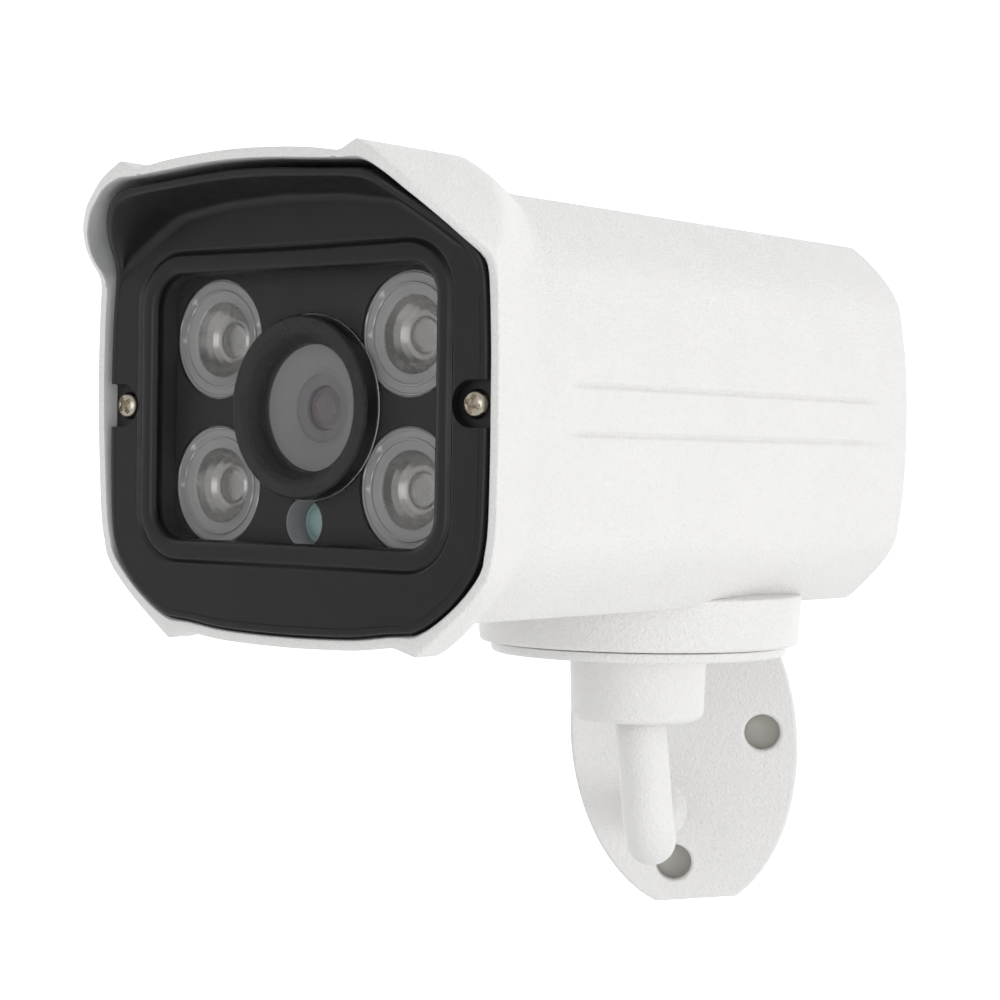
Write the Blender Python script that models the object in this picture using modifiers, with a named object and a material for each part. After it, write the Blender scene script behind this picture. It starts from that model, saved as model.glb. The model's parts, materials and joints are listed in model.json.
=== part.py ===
"""Square-bodied outdoor security camera on a ball-jointed wall bracket.

Two frames are used, both in millimetres and both turned into metres by the helpers.
Camera frame: origin on the lens axis where it meets the front face, +Y to the rear, +Z up.
Bracket frame: origin at the centre of the ball, +Y towards the wall, +Z up the arm.
World frame: origin on the back of the wall plate, +Y into the wall, +Z up.
"""

import math

import bmesh
import bpy
from mathutils import Matrix, Vector

MM = 0.001
WELD = 0.00005
GAP = 0.15

# How the camera stands on its bracket
PAN = math.radians(-34.0)
ARM_LEAN = math.radians(-5.2)
BALL_FROM_LENS = Vector((0.0, 89.2, -45.6))
ARM_REACH = 46.0
ARM_DROP = 29.4

# Die-cast body
BODY_END = 123.2
BODY_WALL = 2.4
RIM_WALL = 1.8
LEDGE = 2.6
CAVITY_END = 108.0
REAR_LEDGE = 118.4
REAR_HOLE = (26.0, 24.0, 11.0)
REAR_COVER_FRONT, REAR_COVER_BACK = 119.2, 121.4
REAR_SCREWS = [(-23.8, 23.6), (23.8, 23.6), (-23.8, -22.9), (23.8, -22.9)]
GROOVE_HEIGHTS = (3.8, -3.4)
GROOVE_SIDE_X = 34.0
GROOVE_DEPTH = 0.3
RIM_HALF = [(0, 36.2), (7, 36.0), (14, 35.5), (20.3, 34.6), (23.4, 36.1), (26.6, 34.3), (29.7, 32.0),
            (32.8, 29.4), (35.6, 26.6), (37.9, 23.4), (39.4, 19.5), (40.0, 10.0), (40.1, 0), (40.0, -10.0),
            (39.6, -18.5), (38.2, -23.2), (35.6, -26.5), (32.4, -29.4), (28.6, -32.4), (24.8, -35.2),
            (20.4, -34.0), (14, -34.8), (7, -35.1), (0, -35.2)]
BODY_HALF = [(0, 32.2), (7, 32.2), (14, 32.15), (19.5, 32.1), (22.4, 32.0), (24.6, 30.3), (26.7, 28.4),
             (28.7, 26.3), (30.4, 24.2), (31.7, 22.0), (32.6, 19.0), (33.8, 9.5), (34.1, 0), (33.8, -9.5),
             (32.9, -17.5), (32.1, -20.8), (30.4, -23.6), (28.1, -26.2), (25.4, -28.8), (22.7, -31.1),
             (19.5, -31.4), (14, -31.5), (7, -31.5), (0, -31.5)]
HOOD_PROFILE = [(-12.3, 37.5), (-12.3, 33.4), (-11.1, 30.0), (-8.9, 26.9), (-6.4, 24.2), (-4.4, 22.4),
                (-2.6, 21.1), (-1.6, 20.2), (-1.2, 18.5), (-1.1, 0.0), (-0.6, -20.0), (0.0, -36.5)]

# Front bezel and its eave
FACE = -0.7
BEZEL_BACK = 1.9
EAVE_PROFILE = [(-11.2, 36.5), (-11.2, 31.2), (-9.6, 28.9), (-6.9, 26.3), (-3.9, 23.9), (-1.6, 21.9),
                (FACE, 20.6), (FACE, -36.5)]
EAVE_AT_FACE = [(0, 31.4), (12, 30.9), (22.1, 29.4), (28.4, 25.8), (34.4, 21.9), (38.5, 19.0)]
EAVE_AT_LIP = [(0, 32.9), (12, 32.4), (26.3, 30.3), (31.4, 26.0), (35.8, 21.9), (38.5, 19.0)]

FRONT_SCREW_X, FRONT_SCREW_Z = 34.7, 0.3
NOTCH_R, NOTCH_FLOOR = 3.3, 0.9
POST_R, POST_Z = 2.2, 25.4
LINE_RECT = (31.0, 23.3, 8.0)

# Window stack behind the bezel
WINDOW = (28.0, 20.0, 5.0)
GLASS = (29.6, 21.6, 6.4)
GLASS_FRONT = 0.45
GLASS_BACK = 1.45
MASK_FRONT = 4.4
MASK_BACK = 5.2
LED_X = 19.13
LED_ROWS = (10.45, -11.8)
SENSOR_X, SENSOR_Z = -0.8, -17.0

# Circuit boards
LED_BOARD_Y = (15.0, 16.6)
SENSOR_BOARD_Y = (33.0, 34.2)
MAIN_BOARD_Y = (50.0, 51.6)
STANDOFF_XZ = 14.0
FILTER_TRAVEL = 9.0

# Bracket
FLANGE_SCREW_R = 19.5
FLANGE_SCREWS = [(FLANGE_SCREW_R * math.cos(math.radians(a)),
                  BALL_FROM_LENS.y + FLANGE_SCREW_R * math.sin(math.radians(a))) for a in (90, 210, 330)]
RING_SEAL = (12.0, 14.0)
BALL_R = 8.2
SOCKET_R = 9.4
RING_IN, RING_OUT = 8.3, 9.25
BOSS_TOP_R, BOSS_R, BOSS_Z = 28.4, 27.8, -38.7
FLANGE_R, FLANGE_Z = 25.8, -40.5
HUB_R, HUB_Z = 11.67, -52.3
HUB_MOUTH_R = 7.6
ROD_R = 4.45
PLATE_CENTRE = (6.8, -15.4)
PLATE_A, PLATE_B, PLATE_FLAT = 22.0, 34.1, 31.9
PLATE_T = 3.0
PAD_T = 1.0
PLATE_HOLES = [(15.25, -0.4), (-3.8, -24.5), (-11.0, 20.0)]
PLATE_HOLE_R = 3.45

WHITE = ((0.80, 0.79, 0.77, 1), 0.42, 0.0)
BLACK = ((0.020, 0.020, 0.022, 1), 0.48, 0.0)
RUBBER = ((0.015, 0.015, 0.016, 1), 0.85, 0.0)
GREY_RUBBER = ((0.25, 0.25, 0.23, 1), 0.85, 0.0)
CLEAR = ((0.75, 0.80, 0.82, 1), 0.05, 0.0)
LENS_PLASTIC = ((0.45, 0.45, 0.44, 1), 0.20, 0.0)
STEEL = ((0.62, 0.60, 0.56, 1), 0.28, 1.0)
BRASS = ((0.70, 0.52, 0.22, 1), 0.30, 1.0)
GREEN_BOARD = ((0.02, 0.16, 0.07, 1), 0.45, 0.0)
WHITE_BOARD = ((0.70, 0.70, 0.66, 1), 0.50, 0.0)
NYLON = ((0.78, 0.76, 0.70, 1), 0.50, 0.0)
LED_YELLOW = ((0.80, 0.62, 0.12, 1), 0.35, 0.0)
BLACK_METAL = ((0.030, 0.030, 0.032, 1), 0.35, 0.6)
RED_GLASS = ((0.55, 0.10, 0.14, 1), 0.05, 0.0)
CHIP = ((0.05, 0.06, 0.08, 1), 0.20, 0.2)


# ---------------------------------------------------------------- scene and object helpers

def clear_scene():
    for item in list(bpy.data.objects):
        bpy.data.objects.remove(item, do_unlink=True)


def new_collection(name):
    group = bpy.data.collections.new(name)
    bpy.context.scene.collection.children.link(group)
    return group


clear_scene()
PARTS = new_collection("security_camera")
CUTTERS = new_collection("cutters")


def new_empty(name, parent=None, at=(0, 0, 0), turn=(0, 0, 0)):
    empty = bpy.data.objects.new(name, None)
    PARTS.objects.link(empty)
    empty.parent = parent
    empty.location = Vector(at) * MM
    empty.rotation_euler = turn
    return empty


def new_material(name, look):
    colour, rough, metal = look
    material = bpy.data.materials.new(name)
    material.use_nodes = True
    shader = material.node_tree.nodes["Principled BSDF"]
    shader.inputs["Base Color"].default_value = colour
    shader.inputs["Roughness"].default_value = rough
    shader.inputs["Metallic"].default_value = metal
    return material


def finish_mesh(work, name):
    bmesh.ops.recalc_face_normals(work, faces=work.faces)
    mesh = bpy.data.meshes.new(name)
    work.to_mesh(mesh)
    work.free()
    mesh.shade_smooth()
    mesh.set_sharp_from_angle(angle=math.radians(32))
    return mesh


def add_part(name, mesh, look, parent, at=(0, 0, 0), turn=(0, 0, 0)):
    part = bpy.data.objects.new(name, mesh)
    PARTS.objects.link(part)
    part.parent = parent
    part.location = Vector(at) * MM
    part.rotation_euler = turn
    part.data.materials.append(new_material(name, look))
    return part


def add_cutter(name, mesh, parent, at=(0, 0, 0), turn=(0, 0, 0)):
    tool = bpy.data.objects.new(name, mesh)
    CUTTERS.objects.link(tool)
    tool.parent = parent
    tool.location = Vector(at) * MM
    tool.rotation_euler = turn
    tool.hide_render = True
    tool.display_type = "WIRE"
    return tool


def boolean(target, tool, operation="DIFFERENCE"):
    step = target.modifiers.new(operation.lower() + "_" + tool.name, "BOOLEAN")
    step.operation = operation
    step.object = tool


# ---------------------------------------------------------------- mesh helpers, in millimetres

REAR = (math.radians(-90), 0, 0)     # turns local +Z to the rear of the camera
FRONT = (math.radians(90), 0, 0)     # turns local +Z to the front and keeps local Y upright


def box(size, centre=(0, 0, 0)):
    work = bmesh.new()
    place = Matrix.Translation(Vector(centre) * MM) @ Matrix.Diagonal((*(Vector(size) * MM), 1))
    bmesh.ops.create_cube(work, size=1, matrix=place)
    return finish_mesh(work, "box")


def rod(radius, bottom, top, sides=32, top_radius=None):
    work = bmesh.new()
    place = Matrix.Translation((0, 0, (bottom + top) / 2 * MM))
    end = radius if top_radius is None else top_radius
    bmesh.ops.create_cone(work, cap_ends=True, segments=sides, radius1=radius * MM, radius2=end * MM,
                          depth=(top - bottom) * MM, matrix=place)
    return finish_mesh(work, "rod")


def turned(name, profile, look, parent, at=(0, 0, 0), turn=(0, 0, 0), steps=40, closed=False):
    """Solid of revolution about local Z. The profile runs down its outer side, top to bottom."""
    work = bmesh.new()
    points = [work.verts.new((r * MM, 0, z * MM)) for r, z in profile]
    for first, second in zip(points, points[1:]):
        work.edges.new((first, second))
    if closed:
        work.edges.new((points[-1], points[0]))
    mesh = bpy.data.meshes.new(name)
    work.to_mesh(mesh)
    work.free()
    if look:
        part = add_part(name, mesh, look, parent, at, turn)
    else:
        part = add_cutter(name, mesh, parent, at, turn)
    screw = part.modifiers.new("turn", "SCREW")
    screw.steps = steps
    screw.render_steps = steps
    screw.use_merge_vertices = True
    screw.merge_threshold = WELD
    screw.use_smooth_shade = True
    return part


def flat_outline(points, thickness, holes=()):
    """Flat plate in local XY, centred on Z, cut from closed outlines."""
    curve = bpy.data.curves.new("outline", "CURVE")
    curve.dimensions = "2D"
    curve.fill_mode = "BOTH"
    curve.extrude = thickness / 2 * MM
    for loop in (points, *holes):
        spline = curve.splines.new("POLY")
        spline.points.add(len(loop) - 1)
        for point, (x, y) in zip(spline.points, loop):
            point.co = (x * MM, y * MM, 0, 1)
        spline.use_cyclic_u = True
    source = bpy.data.objects.new("outline", curve)
    bpy.context.scene.collection.objects.link(source)
    bpy.context.view_layer.update()
    graph = bpy.context.evaluated_depsgraph_get()
    mesh = bpy.data.meshes.new_from_object(source.evaluated_get(graph))
    bpy.data.objects.remove(source, do_unlink=True)
    work = bmesh.new()
    work.from_mesh(mesh)
    bmesh.ops.remove_doubles(work, verts=work.verts, dist=1e-6)
    return finish_mesh(work, "plate")


def swept_tube(points, radius, closed=False, sides=2):
    """Round bar along a line of points, with its caps welded."""
    curve = bpy.data.curves.new("sweep", "CURVE")
    curve.dimensions = "3D"
    curve.bevel_depth = radius * MM
    curve.bevel_resolution = sides
    curve.use_fill_caps = not closed
    spline = curve.splines.new("POLY")
    spline.points.add(len(points) - 1)
    for point, place in zip(spline.points, points):
        point.co = (*(Vector(place) * MM), 1)
    spline.use_cyclic_u = closed
    source = bpy.data.objects.new("sweep", curve)
    bpy.context.scene.collection.objects.link(source)
    bpy.context.view_layer.update()
    graph = bpy.context.evaluated_depsgraph_get()
    mesh = bpy.data.meshes.new_from_object(source.evaluated_get(graph))
    bpy.data.objects.remove(source, do_unlink=True)
    work = bmesh.new()
    work.from_mesh(mesh)
    bmesh.ops.remove_doubles(work, verts=work.verts, dist=1e-6)
    return finish_mesh(work, "tube")


def loft(rings):
    """Closed solid through unlike sections of equal point count, capped at both ends."""
    work = bmesh.new()
    loops = [[work.verts.new(Vector(point) * MM) for point in ring] for ring in rings]
    for near, far in zip(loops, loops[1:]):
        for index in range(len(near)):
            after = (index + 1) % len(near)
            work.faces.new((near[index], near[after], far[after], far[index]))
    work.faces.new(loops[0])
    work.faces.new(loops[-1])
    return finish_mesh(work, "loft")


def whole_outline(half):
    """Both sides of an outline given from its top centre down the +X side to its bottom centre."""
    return list(half) + [(-x, z) for x, z in reversed(half[1:-1])]


def inset(outline, distance):
    """Outline moved inwards, each corner along its mitre."""
    count = len(outline)
    moved = []
    for index in range(count):
        here = Vector(outline[index])
        before = (here - Vector(outline[index - 1])).normalized()
        after = (Vector(outline[(index + 1) % count]) - here).normalized()
        normals = Vector((before.y, -before.x)) + Vector((after.y, -after.x))
        mitre = normals / max(0.5, normals.length_squared / 2)
        moved.append(tuple(here + mitre * distance))
    return moved


def rounded_rect(half_x, half_z, radius, steps=6):
    points = []
    for quarter, (side_x, side_z) in enumerate(((1, 1), (-1, 1), (-1, -1), (1, -1))):
        for step in range(steps + 1):
            angle = math.radians(90) * (quarter + step / steps)
            points.append((side_x * (half_x - radius) + radius * math.cos(angle),
                           side_z * (half_z - radius) + radius * math.sin(angle)))
    return points


def arc(radius, start, end, steps, centre=(0.0, 0.0)):
    """Points (r, z) on a circle, angles in degrees from the +R axis."""
    angles = [math.radians(start + (end - start) * step / steps) for step in range(steps + 1)]
    return [(centre[0] + radius * math.cos(a), centre[1] + radius * math.sin(a)) for a in angles]


def circle(radius, centre=(0, 0), steps=40):
    angles = [2 * math.pi * step / steps for step in range(steps)]
    return [(centre[0] + radius * math.cos(a), centre[1] + radius * math.sin(a)) for a in angles]


def chamfered_rect(half_x, half_z, cut):
    """Rectangle with its four corners cut off at 45 degrees."""
    top_right = [(half_x, half_z - cut), (half_x - cut, half_z)]
    top_left = [(-x, z) for x, z in reversed(top_right)]
    below = [(-x, -z) for x, z in top_right + top_left]
    return top_right + top_left + below


def at_depth(outline, depth):
    return [(x, depth, z) for x, z in outline]


# ---------------------------------------------------------------- frames

plate_to_ball = Vector((PLATE_CENTRE[0], ARM_REACH + PLATE_T + GAP + PAD_T, PLATE_CENTRE[1]))
ball_place = -(Matrix.Rotation(ARM_LEAN, 3, "Y") @ plate_to_ball)
bracket = new_empty("bracket_frame", at=ball_place, turn=(0, ARM_LEAN, 0))
ball_pose = new_empty("ball_pose", at=ball_place, turn=(0, 0, PAN))
camera = new_empty("camera_frame", parent=ball_pose, at=-BALL_FROM_LENS)


# ---------------------------------------------------------------- white body

def body_section(depth):
    """Outline of the casting at a depth: wide front rim, tapering flanks, then the plain body."""
    rim = whole_outline(RIM_HALF)
    plain = whole_outline(BODY_HALF)
    section = []
    for (rim_x, rim_z), (plain_x, plain_z) in zip(rim, plain):
        height = abs(rim_z)
        flank = min(1.0, max(0.0, (33.0 - height) / 12.0))
        ear_start = 9.7 if rim_z > 0 else 4.5
        ear_end = 21.0 if rim_z > 0 else 14.8
        start = flank * -1.2 + (1 - flank) * ear_start
        end = flank * 15.0 + (1 - flank) * ear_end
        share = min(1.0, max(0.0, (depth - start) / (end - start)))
        share = share ** (1.0 + 0.35 * (1 - flank))
        section.append((rim_x + (plain_x - rim_x) * share, rim_z + (plain_z - rim_z) * share))
    return section


def side_trim(name, profile):
    """Cutter in front of a side profile given as (depth, height) from top to bottom."""
    outline = [(y, z) for y, z in profile] + [(-30, -60), (-30, 60), (profile[0][0], 60)]
    outline.insert(len(profile), (profile[-1][0], -60))
    rings = [[(x, y, z) for y, z in outline] for x in (-60, 60)]
    return add_cutter(name, loft(rings), camera)


def make_housing():
    depths = [-14, -1.2, 2, 4.5, 7, 9.7, 12.5, 15, 18, 21, BODY_END - 1.2]
    rings = [at_depth(body_section(depth), depth) for depth in depths]
    rings.append(at_depth(inset(whole_outline(BODY_HALF), 0.35), BODY_END - 0.35))
    rings.append(at_depth(inset(whole_outline(BODY_HALF), 1.1), BODY_END))
    housing = add_part("housing", loft(rings), WHITE, camera)
    outer, inner = RING_SEAL[1] + 0.2, RING_SEAL[0] - 0.2
    boss_profile = [(0, -29.5), (BOSS_TOP_R - 6, -29.5), (BOSS_TOP_R, -30.0), (BOSS_R + 0.1, BOSS_Z + 0.5),
                    (BOSS_R - 0.4, BOSS_Z), (outer, BOSS_Z), (outer, BOSS_Z + 1.0), (inner, BOSS_Z + 1.0),
                    (inner, BOSS_Z)]
    rise = math.degrees(math.asin((BOSS_Z - BALL_FROM_LENS.z) / SOCKET_R))
    boss_profile += arc(SOCKET_R, rise, 90, 4, (0, BALL_FROM_LENS.z))
    boss_profile[-1] = (0, BALL_FROM_LENS.z + SOCKET_R)
    boss = turned("boss", boss_profile, None, camera, BALL_FROM_LENS.xy.to_3d(), steps=44)
    boolean(housing, boss, "UNION")
    boolean(housing, side_trim("hood_trim", HOOD_PROFILE))

    recess = []
    for depth in (-15, -1.2, LEDGE):
        recess.append(at_depth(inset(body_section(depth), RIM_WALL), depth))
    boolean(housing, add_cutter("front_recess", loft(recess), camera))
    cavity_outline = inset(whole_outline(BODY_HALF), BODY_WALL)
    cavity = loft([at_depth(cavity_outline, LEDGE - 1), at_depth(cavity_outline, CAVITY_END)])
    boolean(housing, add_cutter("cavity", cavity, camera))
    rear_hole = chamfered_rect(*REAR_HOLE)
    rear_way = loft([at_depth(rear_hole, CAVITY_END - 1), at_depth(rear_hole, BODY_END + 2)])
    boolean(housing, add_cutter("rear_way", rear_way, camera))
    rear_seat = inset(whole_outline(BODY_HALF), 2.2)
    rear_pocket = loft([at_depth(rear_seat, REAR_LEDGE), at_depth(rear_seat, BODY_END + 2)])
    boolean(housing, add_cutter("rear_pocket", rear_pocket, camera))

    for side in (-1, 1):
        for height in GROOVE_HEIGHTS:
            run = [(23, 0), (34, 0.45), (104, 0.45), (115, 0), (104, -0.45), (34, -0.45)]
            groove = flat_outline(run, 2.0)
            place = (side * (GROOVE_SIDE_X - GROOVE_DEPTH + 1.0), 0, height)
            turn = (math.radians(90), 0, math.radians(90))
            boolean(housing, add_cutter(f"groove_{side + 2}_{height:.0f}", groove, camera, place, turn))

    for index, (x, y) in enumerate(FLANGE_SCREWS):
        hole = rod(1.5, BOSS_Z - 1, BOSS_Z + 5.5, 16)
        boolean(housing, add_cutter(f"boss_hole_{index}", hole, camera, (x, y, 0)))
    for side in (-1, 1):
        hole = rod(1.1, LEDGE - 1, 7.8, 16)
        place = (side * FRONT_SCREW_X, 0, FRONT_SCREW_Z)
        boolean(housing, add_cutter(f"front_hole_{side + 1}", hole, camera, place, REAR))
    for index, (x, z) in enumerate(REAR_SCREWS):
        hole = rod(1.1, REAR_LEDGE - 6, REAR_LEDGE + 1, 16)
        boolean(housing, add_cutter(f"rear_hole_{index}", hole, camera, (x, 0, z), REAR))



# ---------------------------------------------------------------- fasteners and seals

def make_screw(name, look, parent, at, turn, head_r, head_h, shank_r, length, cross=True):
    """Domed cross-recessed screw whose head rests at local Z 0 and whose shank runs to -length."""
    dome = [(0, head_h), (head_r * 0.72, head_h * 0.82), (head_r, head_h * 0.25), (head_r, 0.0)]
    dome += [(shank_r, 0.0), (shank_r, -length), (0, -length)]
    screw = turned(name, dome, look, parent, at, turn, steps=16)
    if not cross:
        return
    for turn_index in range(2):
        slot = box((head_r * 1.15, head_r * 0.28, head_h), (0, 0, head_h * 0.95))
        slot.transform(Matrix.Rotation(math.radians(90 * turn_index + 25), 4, "Z"))
        boolean(screw, add_cutter(f"{name}_slot_{turn_index}", slot, parent, at, turn))


def make_gasket(name, outer, inner, front, back, extra_holes=()):
    mesh = flat_outline(outer, back - front, (inner, *extra_holes))
    add_part(name, mesh, RUBBER, camera, (0, (front + back) / 2, 0), FRONT)


# ---------------------------------------------------------------- front bezel

def make_bezel():
    depths = [(-14, 3.0), (FACE, 3.0), (0.1, 2.6), (BEZEL_BACK, 3.1)]
    rings = [at_depth(inset(body_section(min(depth, 0.2)), wall), depth) for depth, wall in depths]
    bezel = add_part("front_bezel", loft(rings), BLACK, camera)
    boolean(bezel, side_trim("eave_trim", EAVE_PROFILE))

    below = [(46, 15), (46, -50)]
    lip = whole_outline(EAVE_AT_LIP + below + [(0, -50)])
    face = whole_outline(EAVE_AT_FACE + below + [(0, -50)])
    under_eave = loft([at_depth(lip, -15), at_depth(lip, -10.5), at_depth(face, FACE)])
    boolean(bezel, add_cutter("eave_space", under_eave, camera))

    half_x, half_z, radius = WINDOW
    wide = rounded_rect(half_x + 1.6, half_z + 1.6, radius + 1.6)
    narrow = rounded_rect(half_x, half_z, radius)
    window = loft([at_depth(wide, FACE - 0.6), at_depth(narrow, GLASS_FRONT - 0.4), at_depth(narrow, 3)])
    boolean(bezel, add_cutter("window", window, camera))
    half_x, half_z, radius = GLASS
    seat = rounded_rect(half_x + GAP, half_z + GAP, radius + GAP)
    glass_seat = loft([at_depth(seat, GLASS_FRONT - 0.05), at_depth(seat, 4)])
    boolean(bezel, add_cutter("glass_seat", glass_seat, camera))
    line = [(x, FACE - 0.12, z + 0.15) for x, z in rounded_rect(*LINE_RECT, 5)]
    boolean(bezel, add_cutter("bezel_line", swept_tube(line, 0.6, closed=True, sides=0), camera))

    for side in (-1, 1):
        place = (side * FRONT_SCREW_X, 0, FRONT_SCREW_Z)
        notch = rod(NOTCH_R, FACE - 2, NOTCH_FLOOR, 32)
        boolean(bezel, add_cutter(f"notch_{side + 1}", notch, camera, place, REAR))
        way_out = box((8, NOTCH_FLOOR - FACE + 2, NOTCH_R * 2), (side * 4, (NOTCH_FLOOR + FACE - 2) / 2, 0))
        boolean(bezel, add_cutter(f"notch_way_{side + 1}", way_out, camera, place))
        boolean(bezel, add_cutter(f"screw_way_{side + 1}", rod(1.55, -2, 4, 20), camera, place, REAR))
    for side in (-1, 1):
        post = rod(POST_R, BEZEL_BACK - 1.0, LED_BOARD_Y[0] - GAP, 24)
        boolean(bezel, add_cutter(f"post_{side + 1}", post, camera, (0, 0, side * POST_Z), REAR), "UNION")
        bore = rod(0.8, LED_BOARD_Y[0] - 6, LED_BOARD_Y[0] + 1, 12)
        boolean(bezel, add_cutter(f"post_bore_{side + 1}", bore, camera, (0, 0, side * POST_Z), REAR))



def make_window_stack():
    half_x, half_z, radius = GLASS
    glass = flat_outline(rounded_rect(half_x, half_z, radius), GLASS_BACK - GLASS_FRONT)
    add_part("front_window", glass, CLEAR, camera, (0, (GLASS_FRONT + GLASS_BACK) / 2, 0), FRONT)
    inner = rounded_rect(WINDOW[0] + 0.1, WINDOW[1] + 0.1, WINDOW[2])
    outer = rounded_rect(half_x, half_z, radius)
    make_gasket("window_gasket", outer, inner, GLASS_BACK + GAP, MASK_FRONT - GAP)

    mask = flat_outline(outer, MASK_BACK - MASK_FRONT)
    mask_part = add_part("mask_plate", mask, BLACK, camera, (0, (MASK_FRONT + MASK_BACK) / 2, 0), FRONT)
    boolean(mask_part, add_cutter("mask_bore", rod(14.0, 3, 7, 36), camera, (0, 0, 0), REAR))
    for index, (x, z) in enumerate(led_places()):
        boolean(mask_part, add_cutter(f"mask_led_{index}", rod(9.15, 3, 7, 28), camera, (x, 0, z), REAR))
    sensor_hole = rod(3.7, 3, 7, 20)
    boolean(mask_part, add_cutter("mask_sensor", sensor_hole, camera, (SENSOR_X, 0, SENSOR_Z), REAR))


def led_places():
    return [(side * LED_X, row) for row in LED_ROWS for side in (-1, 1)]


def make_lights():
    lens_profile = [(0, 13.0), (4.2, 13.0), (7.6, 6.3), (8.85, 6.3), (8.85, 4.75), (6.3, 4.75), (5.86, 5.1),
                    (4.6, 7.1), (2.9, 8.4), (0, 8.8)]
    for index, (x, z) in enumerate(led_places()):
        number = index + 1
        turned(f"led_lens_{number}", lens_profile, LENS_PLASTIC, camera, (x, 0, z), REAR, steps=24)
        emitter = add_part(f"led_emitter_{number}", box((5.0, 5.0, 1.1), (0, 0, 14.4)), LED_YELLOW, camera,
                           (x, 0, z), REAR)
        dome = rod(1.9, 13.2, 14.4, 12)
        boolean(emitter, add_cutter(f"led_dome_{number}", dome, camera, (x, 0, z), REAR), "UNION")


def make_shroud_and_lens(lens_frame):
    shroud = [(10.25, 4.1), (10.25, 9.0), (12.55, 9.0), (12.55, 4.2), (13.57, 4.2), (13.57, 2.0),
              (13.2, 1.65), (11.9, 1.65), (9.5, 3.6), (9.5, 4.1)]
    turned("lens_shroud", shroud, RUBBER, camera, (0, 0, 0), REAR, steps=36, closed=True)
    barrel = [(9.45, 5.6), (6.0, 5.7), (4.8, 6.3), (4.8, 7.4), (3.3, 7.6), (3.3, 10.0), (4.6, 10.4),
              (4.6, 25.4), (6.9, 25.4), (6.9, 12.0), (9.95, 12.0), (9.95, 4.25), (9.45, 4.25)]
    turned("lens_barrel", barrel, BLACK_METAL, lens_frame, (0, 0, 0), REAR, steps=28, closed=True)
    front = [(0, 5.3), (9.2, 5.3), (9.2, 4.3), (7.0, 4.0), (3.5, 3.85), (0, 3.8)]
    turned("lens_front_element", front, CLEAR, lens_frame, (0, 0, 0), REAR, steps=32)
    inner = [(0, 9.7), (2.0, 9.5), (3.15, 9.0), (3.15, 8.2), (2.2, 7.8), (0, 7.6)]
    turned("lens_inner_element", inner, CLEAR, lens_frame, (0, 0, 0), REAR, steps=20)
    nut = [(7.15, 21.2), (9.0, 21.2), (9.0, 18.8), (7.15, 18.8)]
    lock = turned("lens_lock_nut", nut, BRASS, camera, (0, 0, 0), REAR, steps=32, closed=True)
    for side in (-1, 1):
        flat = box((4, 8, 4), (side * 10.0, 0, 20.0))
        boolean(lock, add_cutter(f"nut_flat_{side + 1}", flat, camera, (0, 0, 0), REAR))


def make_sensor_block():
    holder = add_part("lens_holder", box((20, 20, 6.8), (0, 0, 29.4)), BLACK, camera, (0, 0, 0), REAR)
    boolean(holder, add_cutter("holder_tube", rod(9.2, 21.4, 26.5, 32), camera, (0, 0, 0), REAR), "UNION")
    wing = box((31, 14, 4.6), (0, 0, 28.6))
    boolean(holder, add_cutter("holder_wing", wing, camera, (0, 0, 0), REAR), "UNION")
    boolean(holder, add_cutter("holder_bore", rod(7.1, 20, 26.6, 32), camera, (0, 0, 0), REAR))
    boolean(holder, add_cutter("light_way", rod(4.0, 25, 31, 20), camera, (0, 0, 0), REAR))
    boolean(holder, add_cutter("filter_slot", box((40, 10.2, 1.7), (0, 0, 28.75)), camera, (0, 0, 0), REAR))
    boolean(holder, add_cutter("sensor_room", box((13, 13, 3.6), (0, 0, 31.6)), camera, (0, 0, 0), REAR))
    add_part("ir_cut_coil", box((9, 5.4, 5), (0, 13.0, 28.7)), BRASS, camera, (0, 0, 0), REAR)
    add_part("image_sensor", box((9, 9, 1.6), (0, 0, 32.05)), CHIP, camera, (0, 0, 0), REAR)


def make_filter_slide():
    frame = box((18, 9.6, 1.2), (-FILTER_TRAVEL / 2, 0, 28.75))
    slide = add_part("ir_filter_slide", frame, BLACK, camera, (0, 0, 0), REAR)
    for index, x in enumerate((0.0, -FILTER_TRAVEL)):
        boolean(slide, add_cutter(f"slide_hole_{index}", rod(3.6, 27, 31, 20), camera, (x, 0, 0), REAR))
    add_part("ir_filter_glass", rod(3.4, 28.3, 29.2, 20), RED_GLASS, camera, (0, 0, 0), REAR)


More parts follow.
